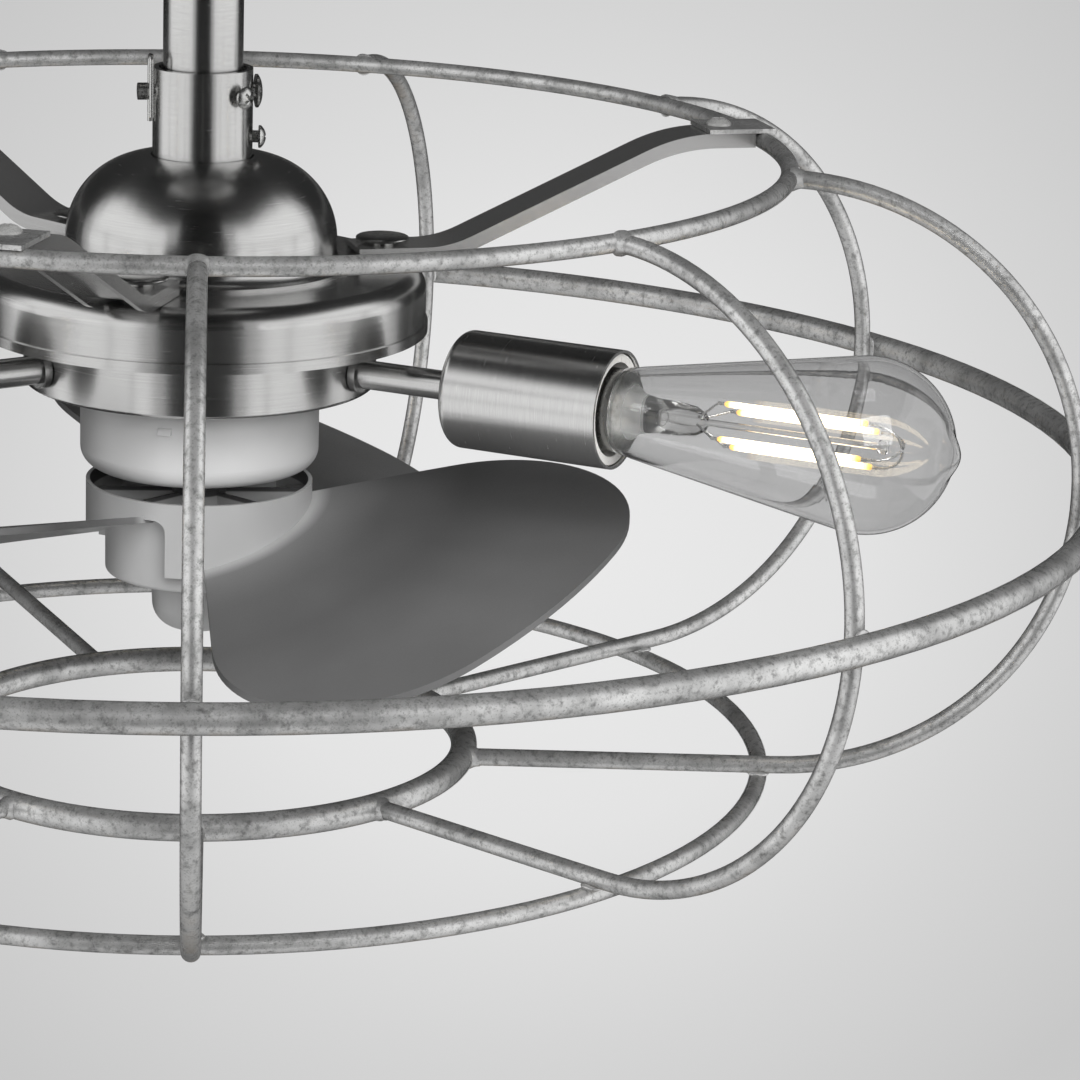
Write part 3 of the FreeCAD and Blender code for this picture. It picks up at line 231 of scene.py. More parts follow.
def ramp(tree, value, stops):
    """Colour ramp with stops of position and colour."""
    made = add(tree, "ShaderNodeValToRGB", {"Fac": value})
    elements = made.color_ramp.elements
    while len(elements) < len(stops):
        elements.new(0.5)
    for element, (at, tone) in zip(elements, stops):
        element.position = at
        element.color = (*tone, 1)
    return made.outputs["Color"]


def spread(tree, value, given, wanted=(0.0, 1.0)):
    """Maps a value from the range given to the one wanted."""
    inputs = {"Value": value, "From Min": given[0], "From Max": given[1],
              "To Min": wanted[0], "To Max": wanted[1]}
    return add(tree, "ShaderNodeMapRange", inputs).outputs["Result"]


def blend(tree, factor, a, b):
    """Mixes two colours."""
    made = add(tree, "ShaderNodeMix", {"Factor": factor}, data_type="RGBA")
    for socket, value in ((made.inputs[6], a), (made.inputs[7], b)):
        if isinstance(value, bpy.types.NodeSocket):
            tree.links.new(value, socket)
        else:
            socket.default_value = (*value, 1)
    return made.outputs[2]


def noise(tree, vector, scale, detail, roughness):
    """Values of a noise texture."""
    inputs = {"Vector": vector, "Scale": scale, "Detail": detail, "Roughness": roughness}
    return add(tree, "ShaderNodeTexNoise", inputs).outputs["Fac"]


def bump(tree, height, strength, distance):
    """Normal of a surface with small heights."""
    inputs = {"Height": height, "Strength": strength, "Distance": distance}
    return add(tree, "ShaderNodeBump", inputs).outputs["Normal"]


def place(tree, rotation=(0, 0, 0), location=(0, 0, 0)):
    """Object coordinates, turned and shifted to a piece's own axis."""
    coordinates = add(tree, "ShaderNodeTexCoord").outputs["Object"]
    inputs = {"Vector": coordinates, "Rotation": rotation, "Location": location}
    return add(tree, "ShaderNodeMapping", inputs, vector_type="POINT").outputs["Vector"]


def split(tree, vector):
    """X, Y and Z of a vector."""
    return add(tree, "ShaderNodeSeparateXYZ", {"Vector": vector}).outputs


def join(tree, **parts):
    """Vector from its X, Y and Z."""
    return add(tree, "ShaderNodeCombineXYZ", parts).outputs[0]


def size_of(tree, vector):
    """Length of a vector."""
    return add(tree, "ShaderNodeVectorMath", {0: vector}, operation="LENGTH").outputs["Value"]


def axis_radius(tree, vector):
    """Distance from the Z axis of the coordinates given."""
    parts = split(tree, vector)
    return size_of(tree, join(tree, X=parts["X"], Y=parts["Y"]))


def new_group(name, inputs, outputs):
    """Empty node group with its sockets, and its input and output nodes."""
    tree = bpy.data.node_groups.new(name, "ShaderNodeTree")
    for label, kind, default in inputs:
        socket = tree.interface.new_socket(label, in_out="INPUT", socket_type=kind)
        if default is not None:
            socket.default_value = default
    for label in outputs:
        tree.interface.new_socket(label, in_out="OUTPUT", socket_type="NodeSocketFloat")
    return tree, tree.nodes.new("NodeGroupInput").outputs, tree.nodes.new("NodeGroupOutput").inputs


def use_group(tree, name, inputs):
    """Outputs of a node group that is placed in a material."""
    return add(tree, "ShaderNodeGroup", inputs, node_tree=bpy.data.node_groups[name]).outputs


def new_material(name, **sockets):
    """Material with a plain shader whose constant sockets are set by name."""
    made = bpy.data.materials.new(name)
    made.use_nodes = True
    shader = made.node_tree.nodes["Principled BSDF"]
    for key, value in sockets.items():
        shader.inputs[key.replace("_", " ")].default_value = value
    return made, made.node_tree, shader


def link(tree, shader, **sockets):
    """Links values that vary to a shader's sockets by name."""
    for key, value in sockets.items():
        tree.links.new(value, shader.inputs[key.replace("_", " ")])


def cover(material, *names):
    """Gives a finish to CAD pieces."""
    for name in names:
        mesh = NODES[name].data
        mesh.materials.clear()
        mesh.materials.append(material)


# Effects shared by several finishes

# Ranges that most of a noise texture and of the brush lines keep to
NOISE_RANGE = (0.3, 0.7)
LINE_RANGE = (0.2, 0.8)
# How often a brush line changes along its length, in a radian and in a metre
TURNED_CHANGES = 2.5
DRAWN_CHANGES = 30.0


def new_line_group(name):
    """Group for brush lines, which has its smudges already."""
    tree, given, result = new_group(
        name,
        [("Vector", "NodeSocketVector", None), ("Fineness", "NodeSocketFloat", 5000.0)],
        ["Lines", "Smudges"],
    )
    smudges = noise(tree, given["Vector"], scale=28.0, detail=3.0, roughness=0.5)
    tree.links.new(smudges, result["Smudges"])
    return tree, given["Vector"], given["Fineness"], result["Lines"]


def make_turned_group():
    """Fine lines that run round the Z axis of the coordinates given."""
    tree, vector, fineness, lines = new_line_group("turned_brushing")
    parts = split(tree, vector)
    angle = sums(tree, "ARCTAN2", parts["Y"], parts["X"])
    rows = join(tree,
                X=sums(tree, "MULTIPLY", axis_radius(tree, vector), fineness),
                Y=sums(tree, "MULTIPLY", parts["Z"], fineness),
                Z=sums(tree, "MULTIPLY", angle, TURNED_CHANGES))
    tree.links.new(noise(tree, rows, scale=1.0, detail=2.0, roughness=0.6), lines)


def make_drawn_group():
    """Fine lines that run along the X axis of the coordinates given."""
    tree, vector, fineness, lines = new_line_group("drawn_brushing")
    parts = split(tree, vector)
    rows = join(tree,
                X=sums(tree, "MULTIPLY", parts["X"], DRAWN_CHANGES),
                Y=sums(tree, "MULTIPLY", parts["Y"], fineness),
                Z=sums(tree, "MULTIPLY", parts["Z"], fineness))
    tree.links.new(noise(tree, rows, scale=1.0, detail=2.0, roughness=0.6), lines)


def make_mottle_group():
    """Cloudy patches, finer stains and specks for zinc."""
    tree, given, result = new_group(
        "zinc_mottle", [("Vector", "NodeSocketVector", None)], ["Patches", "Stains", "Specks"])
    for label, scale, detail, roughness in (
        ("Patches", 60.0, 5.0, 0.62),
        ("Stains", 420.0, 5.0, 0.68),
        ("Specks", 1700.0, 2.0, 0.6),
    ):
        tree.links.new(noise(tree, given["Vector"], scale, detail, roughness), result[label])


def make_satin_group():
    """Fine grain and wide clouds of a satin coat."""
    tree, given, result = new_group(
        "satin_grain",
        [("Vector", "NodeSocketVector", None), ("Scale", "NodeSocketFloat", 2500.0)],
        ["Grain", "Clouds"],
    )
    for label, scale, detail in (("Grain", given["Scale"], 2.0), ("Clouds", 22.0, 3.0)):
        tree.links.new(noise(tree, given["Vector"], scale, detail, 0.5), result[label])


# Finishes


def nickel_finish(name, settings, brushing="turned_brushing", rotation=(0, 0, 0),
                  location=(0, 0, 0), anisotropic=0.7, metallic=1.0, dim=1.0):
    """Brushed plate whose lines run round or along the piece, and spread its highlights. A dim
    below 1 darkens the whole plate as painted shade.
    """
    made, tree, shader = new_material(name, Metallic=metallic, Anisotropic=anisotropic,
                                      Anisotropic_Rotation=0.25)
    marks = use_group(tree, brushing, {
        "Vector": place(tree, rotation, location), "Fineness": settings.fineness})
    tone = Vector(settings.tone) * dim
    shade = ramp(tree, marks["Lines"], shades(tone, LINE_RANGE, (0.87, 1.05)))
    cloud = spread(tree, marks["Smudges"], NOISE_RANGE, (0.0, 0.12))
    base = blend(tree, cloud, shade, tuple(tone * 0.84))
    rough = spread(tree, marks["Lines"], LINE_RANGE,
                   (settings.roughness - 0.02, settings.roughness + 0.04))
    relief = bump(tree, marks["Lines"], strength=0.03, distance=0.06 * MM)
    link(tree, shader, Base_Color=base, Roughness=rough, Normal=relief)
    return made


def zinc_finish(name, settings, shift=0.0):
    """Galvanised wire, where a shift of the mottle raises the bright share."""
    # The black tint darkens the metal's reflections at its edges
    made, tree, shader = new_material(name, Metallic=0.84, Specular_Tint=(0.0, 0.0, 0.0, 1))
    marks = use_group(tree, "zinc_mottle", {"Vector": place(tree)})
    dark = tuple(settings.dark)
    patch = ramp(tree, marks["Patches"], shades(
        settings.light, (0.36 - shift, 0.50 - shift, 0.62 - shift), (0.66, 0.88, 1.0)))
    stain = spread(tree, marks["Stains"], (0.50 + shift, 0.68 + shift), (0.0, 0.66))
    stained = blend(tree, stain, patch, dark)
    specks = spread(tree, marks["Specks"], (0.57, 0.70), (0.0, 0.5))
    specked = blend(tree, specks, stained, dark)
    up = split(tree, add(tree, "ShaderNodeTexCoord").outputs["Normal"])["Z"]
    under = spread(tree, up, (-0.45, -0.95), (0.0, 0.5))
    tinted = sums(tree, "MULTIPLY", under, spread(tree, marks["Patches"], (0.47, 0.58)))
    base = blend(tree, tinted, specked, tuple(settings.tan))
    rough = spread(tree, marks["Stains"], (0.35, 0.65), (0.34, 0.50))
    grit = sums(tree, "ADD", marks["Specks"], sums(tree, "MULTIPLY", marks["Stains"], 2.0))
    relief = bump(tree, grit, strength=0.14, distance=0.12 * MM)
    link(tree, shader, Base_Color=base, Roughness=rough, Normal=relief)
    return made


def satin_finish(name, tone, roughness, metallic, grain=2500.0, depth=0.12):
    """Even coat or bare metal with a fine grain and faint clouds."""
    made, tree, shader = new_material(name, Metallic=metallic)
    marks = use_group(tree, "satin_grain", {"Vector": place(tree), "Scale": grain})
    base = ramp(tree, marks["Clouds"], shades(tone, NOISE_RANGE, (0.92, 1.05)))
    rough = spread(tree, marks["Grain"], NOISE_RANGE, (roughness - 0.05, roughness + 0.06))
    relief = bump(tree, marks["Grain"], strength=depth, distance=0.1 * MM)
    link(tree, shader, Base_Color=base, Roughness=rough, Normal=relief)
    return made


def impeller_finish(settings):
    """Satin silver hub, dark inside, that fades to dark blades with the radius, with painted light
    on the blades near the root and at the tips.
    """
    made, tree, shader = new_material("impeller_satin", Metallic=0.1, Specular_IOR_Level=0.6)
    vector = place(tree)
    marks = use_group(tree, "satin_grain", {"Vector": vector, "Scale": 2200.0})
    radius = axis_radius(tree, vector)
    fade = spread(tree, radius, (settings.fade_start, settings.fade_end))
    # Painted light: the blade shares lighten the blades near the root and at the tips and darken
    # their middle, as the light falls on them.
    tone = ramp(tree, fade, (
        shades(settings.hub, (0.0, 0.04), (1.0, 1.0))
        + shades(settings.blade, (0.10, 0.35, 0.65, 1.0), (1.9, 1.15, 0.95, 1.3))))
    floor = CAGE_HEIGHT - HUB_DEPTH * MM
    above = spread(tree, split(tree, vector)["Z"], (floor, floor + HUB_STEP * MM))
    bore = ((HUB_BORE - HUB_EDGE) * MM, (HUB_BORE + HUB_EDGE) * MM)
    inside = sums(tree, "MULTIPLY", above, spread(tree, radius, bore, (1.0, 0.0)))
    coat = blend(tree, inside, tone, tuple(Vector(settings.blade) * 0.8))
    base = scaled(tree, coat, spread(tree, marks["Clouds"], NOISE_RANGE, (0.9, 1.08)))
    rough = spread(tree, marks["Grain"], NOISE_RANGE, (0.38, 0.48))
    relief = bump(tree, marks["Grain"], strength=0.06, distance=0.1 * MM)
    link(tree, shader, Base_Color=base, Roughness=rough, Normal=relief)
    return made


def new_glass(name):
    """Clear material, before its tint."""
    return new_material(name, Metallic=0.0, Transmission_Weight=1.0, IOR=1.45)


def glass_finish(settings):
    """Clear bulb glass with a very faint cloud."""
    made, tree, shader = new_glass("bulb_clear_glass")
    marks = use_group(tree, "satin_grain", {"Vector": place(tree), "Scale": 300.0})
    base = ramp(tree, marks["Clouds"], shades(settings.glass, NOISE_RANGE, (0.985, 1.0)))
    rough = spread(tree, marks["Clouds"], NOISE_RANGE, (0.0, 0.02))
    link(tree, shader, Base_Color=base, Roughness=rough)
    return made


def stem_finish():
    """Clear stem whose flared foot is clouded where it is sealed to the bulb's neck."""
    made, tree, shader = new_glass("bulb_stem_glass")
    vector = place(tree)
    marks = use_group(tree, "satin_grain", {"Vector": vector, "Scale": 700.0})
    start, stop = FOOT_RANGE
    foot = spread(tree, axis_radius(tree, vector), (start * MM, stop * MM), (1.0, 0.0))
    cloud = ramp(tree, marks["Grain"], [(0.35, (0.52, 0.54, 0.50)), (0.6, (0.92, 0.93, 0.90))])
    base = blend(tree, foot, (0.96, 0.96, 0.95), cloud)
    rough = spread(tree, foot, (0.0, 1.0), (0.01, 0.4))
    link(tree, shader, Base_Color=base, Roughness=rough)
    return made


def filament_finish(settings):
    """Coated strip of small chips, white-hot along its middle and amber at its ends."""
    made, tree, shader = new_material("lit_filament", Metallic=0.0, Roughness=0.6,
                                      Emission_Strength=settings.strength)
    vector = place(tree)
    marks = use_group(tree, "satin_grain", {"Vector": vector, "Scale": 900.0})
    reach = axis_radius(tree, vector)
    along = spread(tree, reach, (STRIP_INSIDE * MM, STRIP_OUTSIDE * MM))
    hot = (1.0, 0.86, 0.62)
    heat = ramp(tree, along, (
        shades(settings.glow, (0.0, 0.03), (0.12, 0.5))
        + [(0.09, hot), (0.91, hot)]
        + shades(settings.glow, (0.97, 1.0), (0.5, 0.12))))
    wave = sums(tree, "SINE", sums(tree, "MULTIPLY", reach, math.tau / (CHIP_PITCH * MM)))
    lit = scaled(tree, heat, spread(tree, wave, (-1.0, 1.0), (0.62, 1.0)))
    coat = ramp(tree, marks["Grain"], shades(settings.glow, NOISE_RANGE, (0.8, 1.0)))
    link(tree, shader, Base_Color=coat, Emission_Color=lit)
    return made


# Mesh helpers


def turn_outline(shape, outline, steps, closed=False):
    """Turns an outline, in millimetres, once about the X axis."""
    verts = [shape.verts.new((x * MM, 0, r * MM)) for x, r in outline]
    edges = [shape.edges.new(pair) for pair in zip(verts, verts[1:])]
    if closed:
        edges.append(shape.edges.new((verts[-1], verts[0])))
    bmesh.ops.spin(shape, geom=verts + edges, cent=(0, 0, 0), axis=(1, 0, 0), angle=math.tau,
                   steps=steps, use_merge=True)
    bmesh.ops.remove_doubles(shape, verts=shape.verts, dist=0.0001 * MM)
    bmesh.ops.recalc_face_normals(shape, faces=shape.faces)


def as_mesh(name, shape):
    """Mesh from a finished shape."""
    mesh = bpy.data.meshes.new(name)
    shape.to_mesh(mesh)
    shape.free()
    return mesh


def new_object(name, data):
    """Object in the scene."""
    made = bpy.data.objects.new(name, data)
    bpy.context.scene.collection.objects.link(made)
    return made


def add_copies(shape, mesh, matrices):
    """Adds a mesh to a shape once for each matrix, and drops the mesh."""
    for matrix in matrices:
        copy = mesh.copy()
        copy.transform(matrix)
        shape.from_mesh(copy)
        bpy.data.meshes.remove(copy)
    bpy.data.meshes.remove(mesh)


def add_piece(name, shape, material, body, sharp=40):
    """Makes the finished piece, smooth but for its sharp edges, and hangs it on a body."""
    mesh = as_mesh(name, shape)
    mesh.materials.append(material)
    mesh.shade_smooth()
    mesh.set_sharp_from_angle(angle=math.radians(sharp))
    piece = new_object(name, mesh)
    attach(piece, body)
    return piece


def at_azimuth(azimuth, height):
    """Moves a piece drawn along +X to an azimuth, at a height in metres."""
    turn = Matrix.Rotation(math.radians(azimuth), 4, "Z")
    return Matrix.Translation((0, 0, height)) @ turn


def straight_wire(shape, start, stop, radius):
    """Round wire between two points, in millimetres."""
    a = Vector(start) * MM
    b = Vector(stop) * MM
    turn = (b - a).to_track_quat("Z", "Y").to_matrix().to_4x4()
    bmesh.ops.create_cone(shape, cap_ends=True, segments=12, radius1=radius * MM,
                          radius2=radius * MM, depth=(b - a).length,
                          matrix=Matrix.Translation((a + b) / 2) @ turn)


# Operators, one for each piece or group of like pieces


class FAN_OT_prepare_finishes(Operator):
    """Shared effects, and the finishes that several pieces use"""
    bl_idname = "fan.prepare_finishes"
    bl_label = "Shared Finishes"

    def execute(self, context):
        scene = context.scene
        impeller = scene.fan_impeller
        steel = (0.58, 0.58, 0.57)
        make_turned_group()
        make_drawn_group()
        make_mottle_group()
        make_satin_group()
        nickel_finish("nickel_upright", scene.fan_nickel)
        zinc_finish("mottled_zinc", scene.fan_zinc)
        zinc_finish("clean_zinc", scene.fan_zinc, shift=0.1)
        satin_finish("satin_silver", impeller.can, roughness=0.42, metallic=0.2)
        satin_finish("satin_grey", impeller.hub, roughness=0.42, metallic=0.2)
        satin_finish("plain_steel", steel, roughness=0.27, metallic=1.0, grain=1200.0, depth=0.08)
        satin_finish("smooth_steel", steel, roughness=0.24, metallic=1.0, grain=9000.0,
                     depth=0.005)
        satin_finish("screw_zinc", (0.60, 0.60, 0.59), roughness=0.28, metallic=0.7, grain=6000.0,
                     depth=0.02)
        return {"FINISHED"}


class FAN_OT_finish_hanger(Operator):
    """Nickel canopy and downrod, black ball and plain steel bracket"""
    bl_idname = "fan.finish_hanger"
    bl_label = "Hanger Finishes"

    def execute(self, context):
        black = satin_finish("ball_black", (0.03, 0.03, 0.03), roughness=0.5, metallic=0.0)
        cover(bpy.data.materials["nickel_upright"], "canopy", "downrod", "coupling")
        cover(black, "hanger_ball")
        cover(bpy.data.materials["plain_steel"], "ceiling_bracket", "canopy_screws", "hanger_pin",
              "clevis_pin", "hairpin_clip", "coupling_screws")
        return {"FINISHED"}


class FAN_OT_finish_housings(Operator):
    """Brushed nickel on the dome, pan, light ring and cage brackets, and their nuts and clips"""
    bl_idname = "fan.finish_housings"
    bl_label = "Housing Finishes"

    def execute(self, context):
        cover(bpy.data.materials["nickel_upright"], "dome_cover", "mount_pan", "light_ring")
        for i, azimuth in enumerate(BRACKET_AZIMUTHS, 1):
            # Painted shade: each bracket's nickel is dimmed to 0.68 of the plate's tone, for the
            # dark that its faces reflect.
            turn = (0, 0, math.radians(-azimuth))
            finish = nickel_finish(f"nickel_bracket_{i}", context.scene.fan_nickel,
                                   "drawn_brushing", turn, anisotropic=0.0, metallic=0.9, dim=0.68)
            cover(finish, f"bracket_{i}")
        cover(bpy.data.materials["plain_steel"], "bracket_nuts", "stem_nuts")
        cover(bpy.data.materials["mottled_zinc"], "cage_clips")
        cover(bpy.data.materials["screw_zinc"], "clip_screws")
        return {"FINISHED"}


class FAN_OT_finish_motor(Operator):
    """Satin silver motor case, with its core, windings, bearings and shaft"""
    bl_idname = "fan.finish_motor"
    bl_label = "Motor Finishes"

    def execute(self, context):
        core = satin_finish("core_laminations", (0.12, 0.12, 0.125), roughness=0.45, metallic=0.9,
                            grain=1800.0)
        copper = satin_finish("winding_copper", (0.45, 0.17, 0.06), roughness=0.35, metallic=0.9,
                              grain=1500.0, depth=0.5)
        cover(bpy.data.materials["satin_silver"], "motor_can", "motor_cap")
        cover(bpy.data.materials["satin_grey"], "spinner_nut")
        cover(core, "stator", "rotor")
        cover(copper, "windings")
        cover(bpy.data.materials["plain_steel"], "upper_bearing", "lower_bearing", "motor_shaft")
        return {"FINISHED"}


class FAN_OT_finish_impeller(Operator):
    """Satin impeller, silver at the hub and dark grey on the blades"""
    bl_idname = "fan.finish_impeller"
    bl_label = "Impeller Finish"

    def execute(self, context):
        cover(impeller_finish(context.scene.fan_impeller), "impeller")
        return {"FINISHED"}


class FAN_OT_finish_cage(Operator):
    """Mottled zinc on the cage's hoops and ribs"""
    bl_idname = "fan.finish_cage"
    bl_label = "Cage Finish"

    def execute(self, context):
        zinc = bpy.data.materials["mottled_zinc"]
        cover(zinc, "top_ring", "middle_ring", "bottom_ring", "inner_ring")
        cover(zinc, *[f"rib_{i}" for i in range(1, len(RIB_AZIMUTHS) + 1)])
        return {"FINISHED"}


class FAN_OT_finish_lights(Operator):
    """Nickel stems and sockets, white insulators, brass shells and grey bulb bases"""
    bl_idname = "fan.finish_lights"
    bl_label = "Light Finishes"

    def execute(self, context):
        for i, azimuth in enumerate(LIGHT_AZIMUTHS, 1):
            # A point on the light's axis goes to the Z axis of the pattern
            level_turn = Matrix.Rotation(math.radians(-azimuth), 4, "Z")
            turn = Matrix.Rotation(math.radians(-90), 4, "Y") @ level_turn
            shift = turn @ Vector((0, 0, -LIGHT_HEIGHT))
            finish = nickel_finish(f"nickel_socket_{i}", context.scene.fan_nickel,
                                   rotation=turn.to_euler(), location=shift, anisotropic=0.0)
            cover(finish, f"light_stem_{i}", f"socket_cup_{i}")
        porcelain = satin_finish("white_porcelain", (0.78, 0.77, 0.74), roughness=0.3, metallic=0.0,
                                 grain=600.0, depth=0.05)
        brass = satin_finish("dull_brass", (0.46, 0.39, 0.25), roughness=0.38, metallic=1.0)
        base = satin_finish("base_grey", (0.30, 0.30, 0.295), roughness=0.3, metallic=1.0,
                            grain=1200.0, depth=0.08)
        cover(porcelain, "socket_insulators")
        cover(brass, "socket_shells", "socket_contacts")
        cover(base, "bulb_bases")
        return {"FINISHED"}


class FAN_OT_make_pan_bolts(Operator):
    """Flat round-edged bolts that hold the cage brackets to the pan"""
    bl_idname = "fan.make_pan_bolts"
    bl_label = "Pan Bolts"

    def execute(self, context):
        low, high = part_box("bracket_bolts")
        tail = (low.z - high.z) / MM
        end = [(tail + BOLT_END_LENGTH, BOLT_RADIUS), (tail, BOLT_END_RADIUS), (tail, 0)]
        bolt = bmesh.new()
        turn_outline(bolt, BOLT_HEAD + end, steps=48)
        stand = Matrix.Rotation(math.radians(-90), 4, "Y")
        upright = Matrix.Translation((BOLT_CIRCLE * MM, 0, 0)) @ stand
        shape = bmesh.new()
        add_copies(shape, as_mesh("pan_bolt", bolt),
                   [at_azimuth(a, high.z) @ upright for a in BRACKET_AZIMUTHS])
        piece = add_piece("pan_bolts", shape, bpy.data.materials["smooth_steel"], "fan_body")
        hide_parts("bracket_bolts")
        return {"FINISHED"}


def weld_collar(reach, tilt):
    """Flared bead round a rib's end, at a radius in millimetres."""
    lump_depth, lumps_round, lump_twist = 0.05, 3, 900
    shape = bmesh.new()
    turn_outline(shape, WELD_COLLAR, steps=28, closed=True)
    for vert in shape.verts:
        angle = math.atan2(vert.co.y, vert.co.z)
        lump = 1 + lump_depth * math.sin(lumps_round * angle + lump_twist * vert.co.x)
        vert.co.y *= lump
        vert.co.z *= lump
    bmesh.ops.smooth_vert(shape, verts=shape.verts, factor=0.3,
                          use_axis_x=True, use_axis_y=True, use_axis_z=True)
    bmesh.ops.rotate(shape, verts=shape.verts, cent=(0, 0, 0),
                     matrix=Matrix.Rotation(math.radians(tilt), 3, "Y"))
    bmesh.ops.translate(shape, verts=shape.verts, vec=(reach * MM, 0, 0))
    return as_mesh("weld_collar", shape)


def weld_button(reach, height, size):
    """Flat bead in the notch where a rib crosses a hoop, in millimetres."""
    lump_depth, wave_x, wave_y, wave_z = 0.08, 2500, 1700, 2100
    shape = bmesh.new()
    bmesh.ops.create_icosphere(shape, subdivisions=3, radius=MM)
    for vert in shape.verts:
        x, y, z = vert.co
        vert.co *= 1 + lump_depth * math.sin(wave_x * x + wave_y * y) * math.cos(wave_z * z)
    bmesh.ops.scale(shape, verts=shape.verts, vec=size)
    bmesh.ops.translate(shape, verts=shape.verts, vec=(reach * MM, 0, height * MM))
    return as_mesh("weld_button", shape)


class FAN_OT_make_welds(Operator):
    """Weld beads where the cage's ribs meet its hoops"""
    bl_idname = "fan.make_welds"
    bl_label = "Cage Welds"

    def execute(self, context):
        shape = bmesh.new()
        for mesh, ring in (
            (weld_collar(reach=195.2, tilt=0), "top_ring"),
            (weld_collar(reach=95.1, tilt=-2.6), "inner_ring"),
            (weld_button(reach=192, height=2.8, size=(3.7, 3.7, 1.2)), "bottom_ring"),
            (weld_button(reach=295.9, height=0, size=(1.2, 3.8, 4.4)), "middle_ring"),
        ):
            ring_height = middle(ring).z
            add_copies(shape, mesh, [at_azimuth(a, ring_height) for a in RIB_AZIMUTHS])
        add_piece("cage_welds", shape, bpy.data.materials["clean_zinc"], "fan_body",
                  sharp=80)
        return {"FINISHED"}


class FAN_OT_make_lance(Operator):
    """Small lanced tongue in the motor case"""
    bl_idname = "fan.make_lance"
    bl_label = "Case Tongue"

    def execute(self, context):
        shape = bmesh.new()
        bmesh.ops.create_cube(shape, size=MM)
        bmesh.ops.scale(shape, verts=shape.verts, vec=LANCE_SIZE)
        lower = [v for v in shape.verts if v.co.z < 0 and v.co.x > 0]
        bmesh.ops.translate(shape, verts=lower, vec=(LANCE_LIFT * MM, 0, 0))
        bmesh.ops.bevel(shape, geom=shape.edges[:], offset=LANCE_ROUNDING * MM,
                        offset_type="OFFSET", segments=3, profile=0.5, affect="EDGES", material=-1)
        bmesh.ops.translate(shape, verts=shape.verts, vec=(LANCE_REACH * MM, 0, 0))
        shape.transform(at_azimuth(LANCE_AZIMUTH, CAGE_HEIGHT + LANCE_HEIGHT * MM))
        add_piece("case_tongue", shape, bpy.data.materials["satin_silver"], "fan_body",
                  sharp=60)
        return {"FINISHED"}


def glass_outline():
    """Outside of a bulb, from its neck over the round end to the drawn-out tip."""
    cone_steps, round_steps, tip_steps = 24, 30, 18
    points = list(NECK_RIM)
    for k in range(cone_steps):
        points.append((CONE_START + CONE_LENGTH * k / cone_steps,
                       CONE_RADIUS + CONE_GROWTH * k / cone_steps))
    for k in range(round_steps + 1):
        turn = math.radians(ROUND_START - ROUND_SWEEP * k / round_steps)
        points.append((ROUND_CENTER + ROUND_RADIUS * math.cos(turn),
                       ROUND_RADIUS * math.sin(turn)))
    handles = [Vector(p) for p in (points[-1], *TIP_PULLS, (GLASS_END, 0))]
    return points + [tuple(p) for p in interpolate_bezier(*handles, tip_steps)[1:]]


def bulb_glass():
    """Blown glass of even wall, open at the neck."""
    outside = [Vector(p) for p in glass_outline()]
    inside = []
    for k, point in enumerate(outside[:-1]):
        along = (outside[k + 1] - outside[max(k - 1, 0)]).normalized()
        inside.append(point + GLASS_WALL * Vector((along.y, -along.x)))
    inside.append(Vector((GLASS_END - GLASS_WALL, 0)))
    shape = bmesh.new()
    turn_outline(shape, [tuple(p) for p in inside[::-1] + outside], steps=72)
    return shape


class FAN_OT_make_bulbs(Operator):
    """Three blown glass bulbs with drawn-out tips"""
    bl_idname = "fan.make_bulbs"
    bl_label = "Bulb Glass"

    def execute(self, context):
        finish = glass_finish(context.scene.fan_bulb)
        for i, azimuth in enumerate(LIGHT_AZIMUTHS, 1):
            shape = bulb_glass()
            shape.transform(at_azimuth(azimuth, LIGHT_HEIGHT))
            piece = add_piece(f"blown_bulb_{i}", shape, finish, "fan_body")
            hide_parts(f"bulb_glass_{i}")
        return {"FINISHED"}


def strip_turns():
    """Turns about the bulb's axis of its four filament strips."""
    return [Matrix.Rotation(math.radians(turn), 4, "X") for turn in STRIP_TURNS]


def bulb_stem():
    """Flared glass stem, pinched flat at its press, with a thin post and button."""
    shape = bmesh.new()
    turn_outline(shape, STEM_OUTLINE, steps=32)
    for vert in shape.verts:
        x = vert.co.x / MM
        pinch = 0
        if x < PRESS_END:
            pinch = min(max((x - PRESS_START) / (PRESS_FULL - PRESS_START), 0), 1)
        vert.co.y *= 1 - PRESS_FLATTENING * pinch
        vert.co.z *= 1 + PRESS_WIDENING * pinch
    return as_mesh("bulb_stem", shape)


def bulb_wires():
    """Short leads to the strips' inner ends and bowed wires from their outer ends to the button."""
    wires = bmesh.new()
    straight_wire(wires, LEAD_START, LEAD_END, LEAD_RADIUS)
    for start, stop in CUFFS:
        straight_wire(wires, (start, 0, STRIP_CIRCLE), (stop, 0, STRIP_CIRCLE), CUFF_RADIUS)
    before = set(wires.verts)
    facing = Matrix.Rotation(math.radians(90), 4, "Y")
    outset = Matrix.Translation((BOW_START * MM, 0, STRIP_CIRCLE * MM))
    ring = bmesh.ops.create_circle(wires, cap_ends=False, segments=10, radius=LEAD_RADIUS * MM,
                                   matrix=outset @ facing)["verts"]
    edges = list({e for v in ring for e in v.link_edges})
    bmesh.ops.spin(wires, geom=ring + edges, cent=(BOW_START * MM, 0, BOW_CENTER * MM),
                   axis=(0, 1, 0), angle=math.pi / 2, steps=14)
    bent = [v for v in wires.verts if v not in before]
    bmesh.ops.scale(wires, verts=bent, vec=(BOW_STRETCH, 1, 1),
                    space=Matrix.Translation((-BOW_START * MM, 0, 0)))
    bmesh.ops.recalc_face_normals(wires, faces=wires.faces)
    shape = bmesh.new()
    add_copies(shape, as_mesh("strip_wires", wires), strip_turns())
    return as_mesh("bulb_wires", shape)


